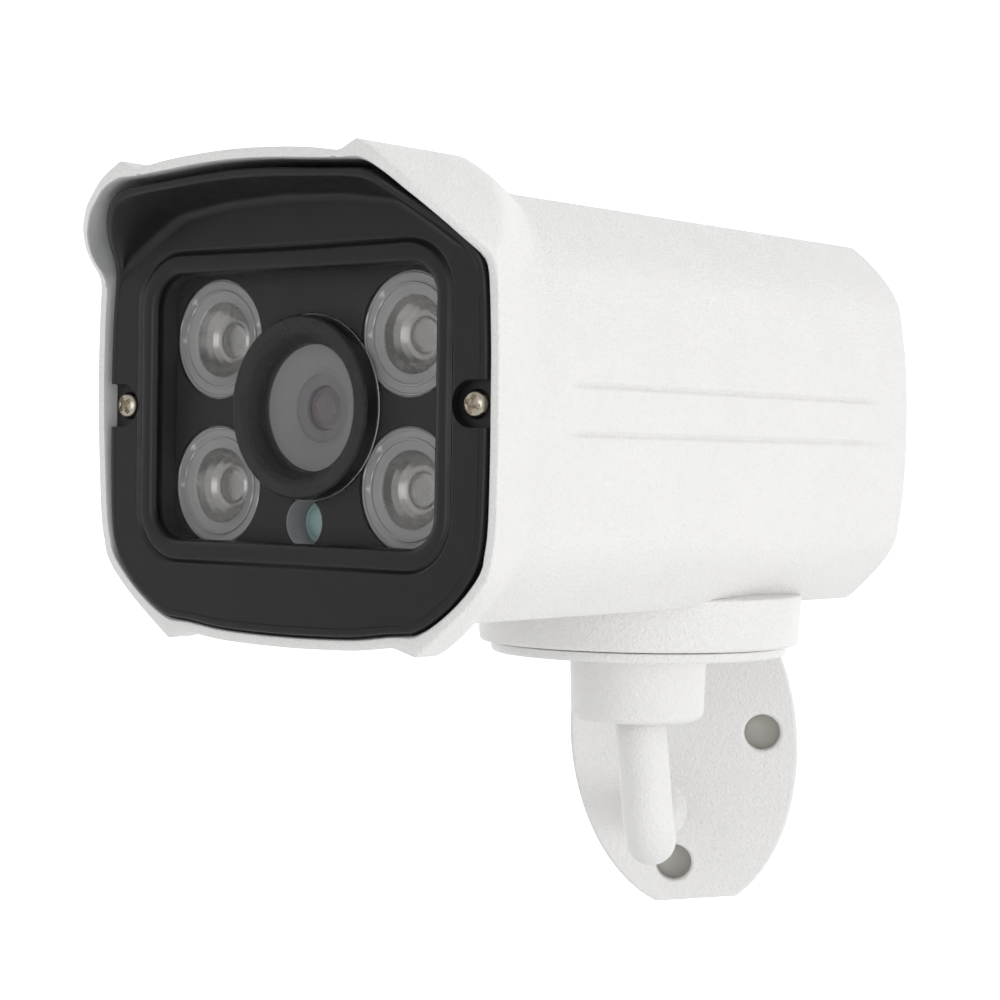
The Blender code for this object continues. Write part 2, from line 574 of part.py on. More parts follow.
def make_boards():
    led_board = flat_outline(chamfered_rect(29.0, 27.5, 10.0), LED_BOARD_Y[1] - LED_BOARD_Y[0],
                             [circle(10.4, steps=32)])
    board = add_part("led_board", led_board, WHITE_BOARD, camera, (0, sum(LED_BOARD_Y) / 2, 0), FRONT)
    for side in (-1, 1):
        hole = rod(1.2, 13, 19, 16)
        boolean(board, add_cutter(f"board_hole_{side + 1}", hole, camera, (0, 0, side * POST_Z), REAR))
        seat = (0, LED_BOARD_Y[1] + 0.05, side * POST_Z)
        name = f"board_screw_{(side + 3) // 2}"
        make_screw(name, STEEL, camera, seat, REAR, 1.9, 1.2, 0.65, 6.0, cross=False)
    corners = [(sx * STANDOFF_XZ, sz * STANDOFF_XZ) for sz in (1, -1) for sx in (-1, 1)]
    sensor_board = flat_outline(rounded_rect(19, 19, 1.0, 3), SENSOR_BOARD_Y[1] - SENSOR_BOARD_Y[0],
                                [circle(1.3, corner, 10) for corner in corners])
    add_part("sensor_board", sensor_board, GREEN_BOARD, camera, (0, sum(SENSOR_BOARD_Y) / 2, 0), FRONT)
    main_board = flat_outline(rounded_rect(21, 21, 1.0, 3), MAIN_BOARD_Y[1] - MAIN_BOARD_Y[0],
                              [circle(1.3, corner, 10) for corner in corners])
    add_part("main_board", main_board, GREEN_BOARD, camera, (0, sum(MAIN_BOARD_Y) / 2, 0), FRONT)
    front_bar = [(0, 36.0), (1.1, 36.0), (1.1, 32.85), (2.3, 32.85), (2.3, LED_BOARD_Y[1] + GAP),
                 (0, LED_BOARD_Y[1] + GAP)]
    rear_bar = [(0, 53.4), (1.1, 53.4), (1.1, MAIN_BOARD_Y[0] - GAP), (2.3, MAIN_BOARD_Y[0] - GAP),
                (2.3, 34.35), (1.3, 34.35), (1.3, 36.6), (0, 36.6)]
    for index, (x, z) in enumerate(corners):
        turned(f"standoff_front_{index + 1}", front_bar, BRASS, camera, (x, 0, z), REAR, steps=6)
    for index, (x, z) in enumerate(corners[:1] + corners[3:]):
        turned(f"standoff_rear_{index + 1}", rear_bar, BRASS, camera, (x, 0, z), REAR, steps=6)
    sensor_body = [(0, 9.4), (2.5, 9.4), (2.5, 5.9), (2.2, 5.6), (0, 5.6)]
    turned("light_sensor", sensor_body, CLEAR, camera, (SENSOR_X, 0, SENSOR_Z), REAR, steps=20)


def make_front_fixings():
    outer = inset(body_section(LEDGE), RIM_WALL + 0.5)
    inner = inset(whole_outline(BODY_HALF), BODY_WALL - 0.1)
    holes = [circle(1.6, (side * FRONT_SCREW_X, FRONT_SCREW_Z), 12) for side in (-1, 1)]
    make_gasket("front_gasket", outer, inner, BEZEL_BACK + 0.1, LEDGE - 0.1, extra_holes=holes)
    for side, label in ((-1, "left"), (1, "right")):
        seat = (side * FRONT_SCREW_X, NOTCH_FLOOR - 0.1, FRONT_SCREW_Z)
        make_screw(f"front_screw_{label}", STEEL, camera, seat, FRONT, 2.1, 1.25, 0.95, 6.0)


def make_rear():
    cover_outline = inset(whole_outline(BODY_HALF), 2.45)
    gland_hole = circle(5.05, steps=28)
    screw_holes = [circle(1.4, place, 12) for place in REAR_SCREWS]
    front, back = REAR_COVER_FRONT, REAR_COVER_BACK
    cover = flat_outline(cover_outline, back - front, [gland_hole, *screw_holes])
    add_part("rear_cover", cover, WHITE, camera, (0, (front + back) / 2, 0), FRONT)
    ring = chamfered_rect(*REAR_HOLE)
    make_gasket("rear_gasket", cover_outline, ring, REAR_LEDGE + 0.1, REAR_LEDGE + 0.7,
                extra_holes=screw_holes)
    for index, (x, z) in enumerate(REAR_SCREWS):
        make_screw(f"rear_screw_{index + 1}", STEEL, camera, (x, back + 0.05, z), REAR, 2.2, 1.2, 0.95, 7.0)
    gland = [(2.9, front - 1.8), (2.9, back + 7.0), (4.3, back + 7.0), (6.3, back + 1.6)]
    gland += [(7.6, back + 1.4), (7.6, back + 0.1), (4.9, back + 0.1), (4.9, front - 0.1)]
    gland += [(6.4, front - 0.1), (6.2, front - 1.8)]
    turned("cable_gland", gland, RUBBER, camera, (0, 0, 0), REAR, steps=28, closed=True)


# ---------------------------------------------------------------- ball joint and bracket

def make_flange():
    centre_z = BALL_FROM_LENS.z
    top = BOSS_Z - GAP - centre_z
    low = FLANGE_Z - centre_z
    hub = HUB_Z - centre_z
    mouth = math.degrees(math.acos(HUB_MOUTH_R / SOCKET_R))
    rim = math.degrees(math.asin(top / SOCKET_R))
    profile = [(FLANGE_R, top), (FLANGE_R, low + 0.8), (FLANGE_R - 0.8, low), (HUB_R + 0.8, low),
               (HUB_R, low - 0.6)]
    profile += arc(2.6, 0, -90, 4, (HUB_R - 2.7, hub + 2.6))
    profile += [(HUB_MOUTH_R, hub)]
    profile += arc(SOCKET_R, -mouth, rim, 5)
    flange = turned("bracket_flange", profile, WHITE, camera, BALL_FROM_LENS, steps=44, closed=True)
    for index, (x, y) in enumerate(FLANGE_SCREWS):
        place = (x, y, 0)
        hole = rod(1.7, FLANGE_Z - 1, BOSS_Z + 1, 20)
        boolean(flange, add_cutter(f"flange_hole_{index}", hole, camera, place))
        sink = rod(3.15, FLANGE_Z - 0.2, FLANGE_Z + 1.15, 24, 1.7)
        boolean(flange, add_cutter(f"flange_sink_{index}", sink, camera, place))
        head = [(0, 5.0), (1.3, 5.0), (1.3, 1.15), (2.75, 0.0), (2.75, -0.05), (0, -0.05)]
        seat = (x, y, FLANGE_Z + 0.1)
        screw = turned(f"flange_screw_{index + 1}", head, STEEL, camera, seat, steps=16)
        for turn_index in range(2):
            slot = box((3.0, 0.7, 1.0), (0, 0, 0))
            slot.transform(Matrix.Rotation(math.radians(90) * turn_index, 4, "Z"))
            boolean(screw, add_cutter(f"flange_slot_{index}_{turn_index}", slot, camera, seat))
    seal = [(RING_SEAL[1], BOSS_Z + 0.9), (RING_SEAL[1], BOSS_Z - 0.05), (RING_SEAL[0], BOSS_Z - 0.05),
            (RING_SEAL[0], BOSS_Z + 0.9)]
    turned("flange_seal", seal, RUBBER, camera, BALL_FROM_LENS.xy.to_3d(), steps=32, closed=True)


def make_ball_rings():
    """Two nylon rings, spherical inside and out, between the ball and its socket."""
    low = arc(RING_OUT, -12, -25, 2) + arc(RING_IN, -25, -12, 2)
    turned("ball_ring_lower", low, NYLON, bracket, steps=32, closed=True)
    high = arc(RING_OUT, 58, 24, 3) + arc(RING_IN, 24, 58, 3)
    turned("ball_ring_upper", high, NYLON, ball_pose, steps=32, closed=True)


def make_bracket():
    neck = 56
    stud = arc(BALL_R, 90, -neck, 9)
    stud[0] = (0, BALL_R)
    stud += [(2.6, -BALL_R * math.sin(math.radians(neck))), (2.4, -7.2), (2.4, -14.0), (0, -14.0)]
    turned("ball_stud", stud, STEEL, bracket, steps=28)

    elbow = 9.0
    path = [(0, 0, -7.1), (0, 0, -ARM_DROP + elbow)]
    for step in range(1, 9):
        angle = math.radians(90) * step / 8
        path.append((0, elbow - elbow * math.cos(angle), -ARM_DROP + elbow - elbow * math.sin(angle)))
    path.append((0, ARM_REACH + 1.0, -ARM_DROP))
    plate_outline = plate_curve()
    plate = add_part("wall_bracket", flat_outline(plate_outline, PLATE_T), WHITE, bracket,
                     (PLATE_CENTRE[0], ARM_REACH + PLATE_T / 2, PLATE_CENTRE[1]), FRONT)
    boolean(plate, add_cutter("arm", swept_tube(path, ROD_R, sides=6), bracket), "UNION")
    foot = rod(ROD_R + 0.2, ARM_REACH - 2.6, ARM_REACH + 0.5, 40, ROD_R + 2.2)
    boolean(plate, add_cutter("arm_foot", foot, bracket, (0, 0, -ARM_DROP), REAR), "UNION")
    boolean(plate, add_cutter("stud_bore", rod(2.55, -15.5, -6, 24), bracket))
    for index, (x, z) in enumerate(PLATE_HOLES):
        place = (PLATE_CENTRE[0] + x, 0, PLATE_CENTRE[1] + z)
        hole = rod(PLATE_HOLE_R, ARM_REACH - 1, ARM_REACH + PLATE_T + 1, 32)
        boolean(plate, add_cutter(f"plate_hole_{index}", hole, bracket, place, REAR))
    pad = flat_outline(inset(plate_outline, 0.8), PAD_T)
    add_part("wall_pad", pad, GREY_RUBBER, bracket,
             (PLATE_CENTRE[0], ARM_REACH + PLATE_T + GAP + PAD_T / 2, PLATE_CENTRE[1]), FRONT)


def plate_curve(steps=64):
    """Clockwise ellipse whose ends are cut flat, with the cut corners as points of their own."""
    points = []
    for step in range(steps):
        angle = math.radians(90) - 2 * math.pi * (step + 0.5) / steps
        points.append((PLATE_A * math.cos(angle), PLATE_B * math.sin(angle)))
    corner = PLATE_A * math.sqrt(1 - (PLATE_FLAT / PLATE_B) ** 2)
    kept = [p for p in points if abs(p[1]) < PLATE_FLAT - 0.2]
    corners = [(sx * corner, sz * PLATE_FLAT) for sx in (-1, 1) for sz in (-1, 1)]
    return sorted(kept + corners, key=lambda p: -math.atan2(p[1], p[0]))


def build():
    lens_frame = new_empty("lens_frame", parent=camera)
    make_housing()
    make_bezel()
    make_window_stack()
    make_lights()
    make_shroud_and_lens(lens_frame)
    make_sensor_block()
    make_filter_slide()
    make_boards()
    make_front_fixings()
    make_rear()
    make_flange()
    make_ball_rings()
    make_bracket()


build()
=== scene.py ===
"""Looks of the square-bodied outdoor security camera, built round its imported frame.

Shapes are worked out in millimetres in local frames read from the joints: CAMERA (origin on the lens axis,
just behind the black face, +Y to the rear, +Z up), HUB (the same axes at the ball), and BRACKET (origin at
the ball, +Y to the wall, +Z up the arm).
"""

import json
import math

import bmesh
import bpy
import numpy as np
from mathutils import Matrix, Vector

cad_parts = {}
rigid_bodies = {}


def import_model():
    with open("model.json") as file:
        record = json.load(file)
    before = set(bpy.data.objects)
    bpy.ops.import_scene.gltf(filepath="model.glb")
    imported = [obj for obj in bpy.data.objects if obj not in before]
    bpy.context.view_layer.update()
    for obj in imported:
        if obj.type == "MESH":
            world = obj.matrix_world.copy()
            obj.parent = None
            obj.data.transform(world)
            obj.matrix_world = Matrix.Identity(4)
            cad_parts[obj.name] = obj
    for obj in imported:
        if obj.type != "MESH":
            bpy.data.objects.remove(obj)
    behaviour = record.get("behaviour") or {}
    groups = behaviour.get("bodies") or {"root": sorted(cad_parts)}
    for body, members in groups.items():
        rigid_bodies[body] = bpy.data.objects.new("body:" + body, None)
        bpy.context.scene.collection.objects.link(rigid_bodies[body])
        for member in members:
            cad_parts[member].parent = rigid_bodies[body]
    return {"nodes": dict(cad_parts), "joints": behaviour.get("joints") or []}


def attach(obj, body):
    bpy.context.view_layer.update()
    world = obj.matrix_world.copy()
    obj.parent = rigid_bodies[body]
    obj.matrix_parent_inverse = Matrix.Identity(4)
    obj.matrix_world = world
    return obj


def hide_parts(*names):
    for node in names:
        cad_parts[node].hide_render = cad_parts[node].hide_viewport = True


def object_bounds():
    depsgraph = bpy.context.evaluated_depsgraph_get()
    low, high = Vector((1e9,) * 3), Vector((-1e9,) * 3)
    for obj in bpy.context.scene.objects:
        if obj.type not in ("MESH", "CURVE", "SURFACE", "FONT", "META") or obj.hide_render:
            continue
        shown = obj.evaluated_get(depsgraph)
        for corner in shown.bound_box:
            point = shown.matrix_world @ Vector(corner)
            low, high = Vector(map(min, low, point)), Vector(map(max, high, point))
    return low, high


for item in list(bpy.data.objects):
    bpy.data.objects.remove(item, do_unlink=True)

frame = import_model()
cad_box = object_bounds()
NODES = frame["nodes"]
JOINTS = {joint["name"]: joint for joint in frame["joints"]}
MM = 0.001

# ---------------------------------------------------------------- frames, from the joints

BALL = Vector(JOINTS["pan"]["pos_m"])
ROD_UP = Vector(JOINTS["pan"]["axis"])
CAM_X = Vector(JOINTS["tilt"]["axis"])
CAM_Y = Vector(JOINTS["roll"]["axis"])
FOCUS_DEPTH = 10.0
LENS_ORIGIN = Vector(JOINTS["focus"]["pos_m"]) - CAM_Y * FOCUS_DEPTH * MM


def frame_matrix(x_axis, y_axis, z_axis, origin):
    """Takes local millimetres along the three axes to the world's metres."""
    columns = Matrix((x_axis * MM, y_axis * MM, z_axis * MM)).transposed().to_4x4()
    return Matrix.Translation(origin) @ columns


CAMERA = frame_matrix(CAM_X, CAM_Y, Vector((0, 0, 1)), LENS_ORIGIN)
WALL_Y = Vector((0, 1, 0))
BRACKET = frame_matrix(WALL_Y.cross(ROD_UP), WALL_Y, ROD_UP, BALL)
HUB = frame_matrix(CAM_X, CAM_Y, Vector((0, 0, 1)), BALL)
BALL_BELOW_AXIS = 45.6
HUB_AXIS = HUB @ Matrix.Translation((0, 0, BALL_BELOW_AXIS))

# ---------------------------------------------------------------- sizes, in millimetres

# half outlines are (x, z) points; profiles are (height, depth) points
RIM_HALF = [(0, 36.2), (7, 36.0), (14, 35.5), (20.3, 34.6), (23.4, 36.1), (26.6, 34.3), (29.7, 32.0),
            (32.8, 29.4), (35.6, 26.6), (37.9, 23.4), (39.4, 19.5), (40.0, 10.0), (40.1, 0), (40.0, -10.0),
            (39.6, -18.5), (38.2, -23.2), (35.6, -26.5), (32.4, -29.4), (28.6, -32.4), (24.8, -35.2),
            (20.4, -34.0), (14, -34.8), (7, -35.1), (0, -35.2)]
BODY_HALF = [(0, 32.2), (7, 32.2), (14, 32.15), (19.5, 32.1), (22.4, 32.0), (24.6, 30.3), (26.7, 28.4),
             (28.7, 26.3), (30.4, 24.2), (31.7, 22.0), (32.6, 19.0), (33.8, 9.5), (34.1, 0), (33.8, -9.5),
             (32.9, -17.5), (32.1, -20.8), (30.4, -23.6), (28.1, -26.2), (25.4, -28.8), (22.7, -31.1),
             (19.5, -31.4), (14, -31.5), (7, -31.5), (0, -31.5)]
SEAM_POINTS = {3: (20.3, 35.1), 4: (24.0, 34.9), 5: (26.8, 33.9), 18: (28.3, -32.2), 19: (24.9, -33.7)}
SEAM_HALF = [SEAM_POINTS.get(index, point) for index, point in enumerate(RIM_HALF)]
CORNERS = (3, 4, 19, 20)
HOOD_PROFILE = [(37.5, -12.3), (33.4, -12.3), (30.0, -11.1), (26.9, -8.9), (24.2, -6.4), (22.4, -4.4),
                (21.1, -2.6), (20.2, -1.6), (18.5, -1.2), (0.0, -1.1), (-20.0, -0.6), (-36.5, 0.0)]
RIM_WALL, RIM_EDGE = 1.6, 0.35
REAR_EDGE = 1.3
# (start, end) depths over which the rim's section turns into the body's
TAPER_FLANK, TAPER_TOP, TAPER_FOOT = (-1.2, 15.0), (9.7, 21.0), (4.5, 14.8)
LEDGE = 2.6
BODY_END = 123.2
REAR_LEDGE = 118.4
GROOVES = (3.8, -3.4)
GROOVE_HALF, GROOVE_DEPTH = 0.5, 0.42
GROOVE_START, GROOVE_END = 22.0, 115.5
REAR_WALL = 2.2
HOLLOW_WALL = 2.4

FACE = -0.7
BEZEL_BACK = 1.9
EAVE_PROFILE = [(36.5, -11.4), (31.2, -11.4), (28.9, -9.8), (26.3, -7.1), (23.9, -4.1), (21.9, -1.8),
                (20.6, FACE), (-36.5, FACE)]
EAVE_AT_FACE = [(0, 31.4), (12, 30.9), (22.1, 29.4), (28.4, 25.8), (34.4, 21.9), (38.5, 19.0)]
EAVE_AT_LIP = [(0, 32.9), (12, 32.4), (26.0, 30.5), (31.6, 26.2), (36.2, 21.9), (38.5, 19.0)]
WINDOW = (28.0, 20.0, 5.0)
PANE_SEAT = (29.75, 21.75, 6.5)
FRONT_LINE = (31.0, 23.3, 8.0)
STEP_INSET, STEP_DEPTH = 1.75, 0.6
SKIN_INSETS = (2.75, 2.5, 1.95)
LIP_WIDTH, LIP_ROUND = 1.2, 0.55
NOTCH_X, NOTCH_Z, NOTCH_R, NOTCH_FLOOR = 34.7, 0.3, 3.3, 0.9

LED_X = 19.13
LED_ROWS = (10.45, -11.8)
BOWL_R = 5.8
SENSOR_PLACE = (-0.8, -17.0)

SOCKET_R, MOUTH_R = 9.4, 7.6
FLANGE_SCREW_R = 19.5
PLATE_CENTRE = (6.8, -15.4)
PLATE_A, PLATE_B, PLATE_FLAT = 22.0, 34.1, 31.9
PLATE_HOLES = [(15.25, -0.4), (-3.8, -24.5), (-11.0, 20.0)]
PLATE_HOLE_R = 3.45
PLATE_THICK, PLATE_EDGE = 3.0, 0.7
ARM_REACH, ARM_DROP, ROD_R, ELBOW = 46.0, 29.4, 4.45, 9.0
STUD_BORE_R = 2.6
REAR_SCREWS = [(-23.8, 23.6), (23.8, 23.6), (-23.8, -22.9), (23.8, -22.9)]
GLAND_HOLE_R, REAR_HOLE_R = 5.05, 1.4

# spacing of the housing's outline samples, and the wider gaps kept in the mesh
SAMPLE = 0.2
BEND_GAP, PLAIN_GAP = 0.4, 0.9
BEND_LIMIT = 0.12

# viewpoint, in the camera frame
VIEW_FROM = Vector((240.05, -251.56, -7.65))
VIEW_TURN, VIEW_PITCH, VIEW_ROLL = math.radians(38.549), math.radians(-0.909), math.radians(0.858)
FOCAL_LENGTH = 85.47


# ---------------------------------------------------------------- outlines

def whole(half):
    """Both sides of an outline given from its top centre down the +X side to its bottom centre."""
    return np.array(list(half) + [(-x, z) for x, z in reversed(half[1:-1])], float)


def inset(outline, distance):
    """Closed clockwise outline moved inwards along its mitres."""
    before = outline - np.roll(outline, 1, 0)
    after = np.roll(outline, -1, 0) - outline
    before /= np.linalg.norm(before, axis=1)[:, None]
    after /= np.linalg.norm(after, axis=1)[:, None]
    inward = np.stack([before[:, 1] + after[:, 1], -(before[:, 0] + after[:, 0])], 1)
    scale = np.maximum(0.5, (inward ** 2).sum(1) / 2)
    return outline + inward / scale[:, None] * np.asarray(distance).reshape(-1, 1)


def spline(outline, stops):
    """Smooth closed curve through an outline's points, with corners kept at CORNERS."""
    count = len(outline)
    breaks = set(CORNERS) | {(count - c) % count for c in CORNERS}
    points = []
    for stop in stops:
        index = int(stop) % count
        t = stop - int(stop)
        p0, p1, p2, p3 = (outline[(index + k) % count] for k in (-1, 0, 1, 2))
        tangent1 = (p2 - p1) if index in breaks else (p2 - p0) / 2
        tangent2 = (p2 - p1) if (index + 1) % count in breaks else (p3 - p1) / 2
        h = (2 * t ** 3 - 3 * t ** 2 + 1, t ** 3 - 2 * t ** 2 + t, -2 * t ** 3 + 3 * t ** 2, t ** 3 - t ** 2)
        points.append(h[0] * p1 + h[1] * tangent1 + h[2] * p2 + h[3] * tangent2)
    return np.array(points)


def soften(points, sigma):
    """Closed curve averaged along itself; sigma counts samples."""
    reach = int(sigma * 3) + 1
    weights = np.exp(-0.5 * (np.arange(-reach, reach + 1) / sigma) ** 2)
    weights /= weights.sum()
    return sum(w * np.roll(points, -k, 0) for k, w in zip(range(-reach, reach + 1), weights))


def even_stops(outline, spacing):
    """Stops along the outline's control points, evenly spaced by length."""
    coarse = np.linspace(0, len(outline), 4001)[:-1]
    curve = spline(outline, coarse)
    length = np.concatenate([[0], np.cumsum(np.linalg.norm(np.roll(curve, -1, 0) - curve, axis=1))])
    count = int(length[-1] / spacing)
    return np.interp(np.arange(count) / count * length[-1], length, np.linspace(0, len(outline), 4001))


STOPS = even_stops(whole(RIM_HALF), SAMPLE)


def smooth_outline(half, wall, radius=0.45):
    """Dense outline moved in by the wall, its corners rounded."""
    return soften(spline(inset(whole(half), wall), STOPS), radius / SAMPLE)


def pick_samples(plain):
    """Samples kept for the mesh: close at the corners and side grooves, wide elsewhere."""
    step = np.roll(plain, -1, 0) - plain
    heading = np.unwrap(np.arctan2(step[:, 1], step[:, 0]))
    bend = np.abs(np.roll(heading, -4) - np.roll(heading, 4))
    bend = np.minimum(bend, np.abs(bend - 2 * math.pi))
    kept = []
    travelled = 9.0
    for index, (x, z) in enumerate(plain):
        near_groove = any(abs(z - g) < GROOVE_HALF + 0.3 for g in GROOVES) and abs(x) > 30
        gap = SAMPLE if near_groove else (BEND_GAP if bend[index] > BEND_LIMIT else PLAIN_GAP)
        travelled += SAMPLE
        if travelled >= gap - 1e-6:
            kept.append(index)
            travelled = 0.0
    return np.array(kept)


def rounded_rect(half_x, half_z, radius, steps=8):
    """Points round a rectangle with rounded corners, centred on the axis."""
    points = []
    for quarter, (side_x, side_z) in enumerate(((1, 1), (-1, 1), (-1, -1), (1, -1))):
        for step in range(steps + 1):
            angle = math.radians(90) * (quarter + step / steps)
            points.append((side_x * (half_x - radius) + radius * math.cos(angle),
                           side_z * (half_z - radius) + radius * math.sin(angle)))
    return points


def circle(radius, centre=(0, 0), steps=48):
    """Points round a circle."""
    angles = np.arange(steps) * 2 * math.pi / steps
    return [(centre[0] + radius * math.cos(a), centre[1] + radius * math.sin(a)) for a in angles]


# ---------------------------------------------------------------- meshes

def to_object(name, vertices, faces, matrix, body, replaces=(), sharp=35):
    """Piece made of local vertices and faces."""
    mesh = bpy.data.meshes.new(name)
    mesh.from_pydata([tuple(v) for v in vertices], [], faces)
    return wrap(name, mesh, matrix, body, replaces, sharp)


def face_outwards(work):
    """Turns every face of a closed mesh outwards."""
    bmesh.ops.recalc_face_normals(work, faces=work.faces)
    if work.calc_volume(signed=True) < 0:
        bmesh.ops.reverse_faces(work, faces=work.faces)


def wrap(name, mesh, matrix, body, replaces=(), sharp=35):
    """Piece made of a local mesh: placed, cleaned, shaded, and riding on its body."""
    mesh.transform(matrix)
    work = bmesh.new()
    work.from_mesh(mesh)
    bmesh.ops.dissolve_degenerate(work, edges=work.edges, dist=2e-6)
    bmesh.ops.remove_doubles(work, verts=work.verts, dist=2e-6)
    face_outwards(work)
    work.to_mesh(mesh)
    work.free()
    mesh.shade_smooth()
    mesh.set_sharp_from_angle(angle=math.radians(sharp))
    piece = bpy.data.objects.new(name, mesh)
    bpy.context.scene.collection.objects.link(piece)
    if body:
        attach(piece, body)
    if replaces:
        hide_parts(*replaces)
    return piece


def grid_faces(rings, count, closed=True):
    """Quads between successive rings of equal count; closed joins the last ring to the first."""
    faces = []
    last = rings if closed else rings - 1
    for j in range(last):
        near, far = j * count, (j + 1) % rings * count
        for i in range(count):
            after = (i + 1) % count
            faces.append((near + i, near + after, far + after, far + i))
    return faces


def lathe(name, profile, matrix, body, replaces=(), steps=96, closed=True, axis="Y", sharp=35):
    """Turned piece. The profile is (radius, along) points; open ones start and end on the axis."""
    angles = np.arange(steps) * 2 * math.pi / steps
    vertices = []
    for radius, along in profile:
        for a in angles:
            u, v = radius * math.cos(a), radius * math.sin(a)
            vertices.append((u, along, v) if axis == "Y" else (u, v, along))
    faces = grid_faces(len(profile), steps, closed)
    return to_object(name, vertices, faces, matrix, body, replaces, sharp)


def fillet(points, radii, steps=5, closed=True):
    """Outline whose corners are rounded by arcs of the given radii."""
    result = []
    count = len(points)
    for index, corner in enumerate(points):
        radius = radii[index] if isinstance(radii, (list, tuple)) else radii
        if radius <= 0 or (not closed and index in (0, count - 1)):
            result.append(tuple(corner))
            continue
        here = Vector(corner)
        back = Vector(points[index - 1]) - here
        ahead = Vector(points[(index + 1) % count]) - here
        half = back.angle(ahead) / 2
        if math.degrees(half) > 88:
            result.append(tuple(corner))
            continue
        reach = min(radius / math.tan(half), back.length * 0.49, ahead.length * 0.49)
        start, end = here + back.normalized() * reach, here + ahead.normalized() * reach
        for step in range(steps + 1):
            t = step / steps
            result.append(tuple(start * (1 - t) ** 2 + here * 2 * t * (1 - t) + end * t ** 2))
    return result


def evaluated_mesh(piece):
    """New mesh of a piece as its modifiers leave it."""
    bpy.context.view_layer.update()
    graph = bpy.context.evaluated_depsgraph_get()
    return bpy.data.meshes.new_from_object(piece.evaluated_get(graph))


def rounded_plate(name, outline, holes, thickness, edge, matrix, body, replaces=(), steps=3):
    """Plate in the local XZ plane, centred on Y, with every edge rounded."""
    curve = bpy.data.curves.new(name, "CURVE")
    curve.dimensions = "2D"
    curve.fill_mode = "BOTH"
    curve.extrude = thickness / 2 - edge
    curve.bevel_depth = edge
    curve.bevel_resolution = steps
    curve.offset = -edge
    for loop in (outline, *holes):
        line = curve.splines.new("POLY")
        line.points.add(len(loop) - 1)
        for point, (x, y) in zip(line.points, loop):
            point.co = (x, y, 0, 1)
        line.use_cyclic_u = True
    source = bpy.data.objects.new(name, curve)
    bpy.context.scene.collection.objects.link(source)
    mesh = evaluated_mesh(source)
    bpy.data.objects.remove(source, do_unlink=True)
    upright = Matrix.Rotation(math.radians(90), 4, "X")
    piece = wrap(name, mesh, matrix @ upright, body, replaces, sharp=50)
    flatten_normals(piece)
    return piece


def flatten_normals(piece):
    """Normals weighted by face size, so flat faces stay flat beside their rounded edges."""
    weight = piece.modifiers.new("weighted", "WEIGHTED_NORMAL")
    weight.keep_sharp = True
    weight.weight = 100


def cut(piece, vertices, faces, matrix):
    """Takes a closed solid out of a piece, and keeps the result at once."""
    mesh = bpy.data.meshes.new("cutter")
    mesh.from_pydata([tuple(v) for v in vertices], [], faces)
    mesh.transform(matrix)
    work = bmesh.new()
    work.from_mesh(mesh)
    face_outwards(work)
    work.to_mesh(mesh)
    work.free()
    tool = bpy.data.objects.new("cutter", mesh)
    bpy.context.scene.collection.objects.link(tool)
    step = piece.modifiers.new("cut", "BOOLEAN")
    step.operation = "DIFFERENCE"
    step.solver = "MANIFOLD"
    step.object = tool
    result = evaluated_mesh(piece)
    piece.modifiers.remove(step)
    old = piece.data
    piece.data = result
    bpy.data.objects.remove(tool, do_unlink=True)
    bpy.data.meshes.remove(old)
    piece.data.shade_smooth()
    piece.data.set_sharp_from_angle(angle=math.radians(35))


def prism(outline, low, high, axis="Y"):
    """Closed prism of an outline given in the plane across the axis."""
    count = len(outline)
    vertices = []
    for level in (low, high):
        for a, b in outline:
            vertices.append((a, level, b) if axis == "Y" else (a, b, level))
    faces = [(i, (i + 1) % count, count + (i + 1) % count, count + i) for i in range(count)]
    faces += [tuple(range(count)), tuple(range(count, 2 * count))]
    return vertices, faces


def tube(path, radius, sides=40):
    """Round bar along a path in the local YZ plane, capped at both ends."""
    points = np.array(path, float)
    ahead = np.gradient(points, axis=0)
    ahead /= np.linalg.norm(ahead, axis=1)[:, None]
    across = np.array((1.0, 0.0, 0.0))
    vertices = []
    for place, direction in zip(points, ahead):
        up = np.cross(direction, across)
        for k in range(sides):
            a = 2 * math.pi * k / sides
            vertices.append(place + radius * (math.cos(a) * across + math.sin(a) * up))
    faces = grid_faces(len(points), sides, closed=False)
    faces += [tuple(range(sides)), tuple(range(len(points) * sides - sides, len(points) * sides))]
    return vertices, faces


# ---------------------------------------------------------------- materials

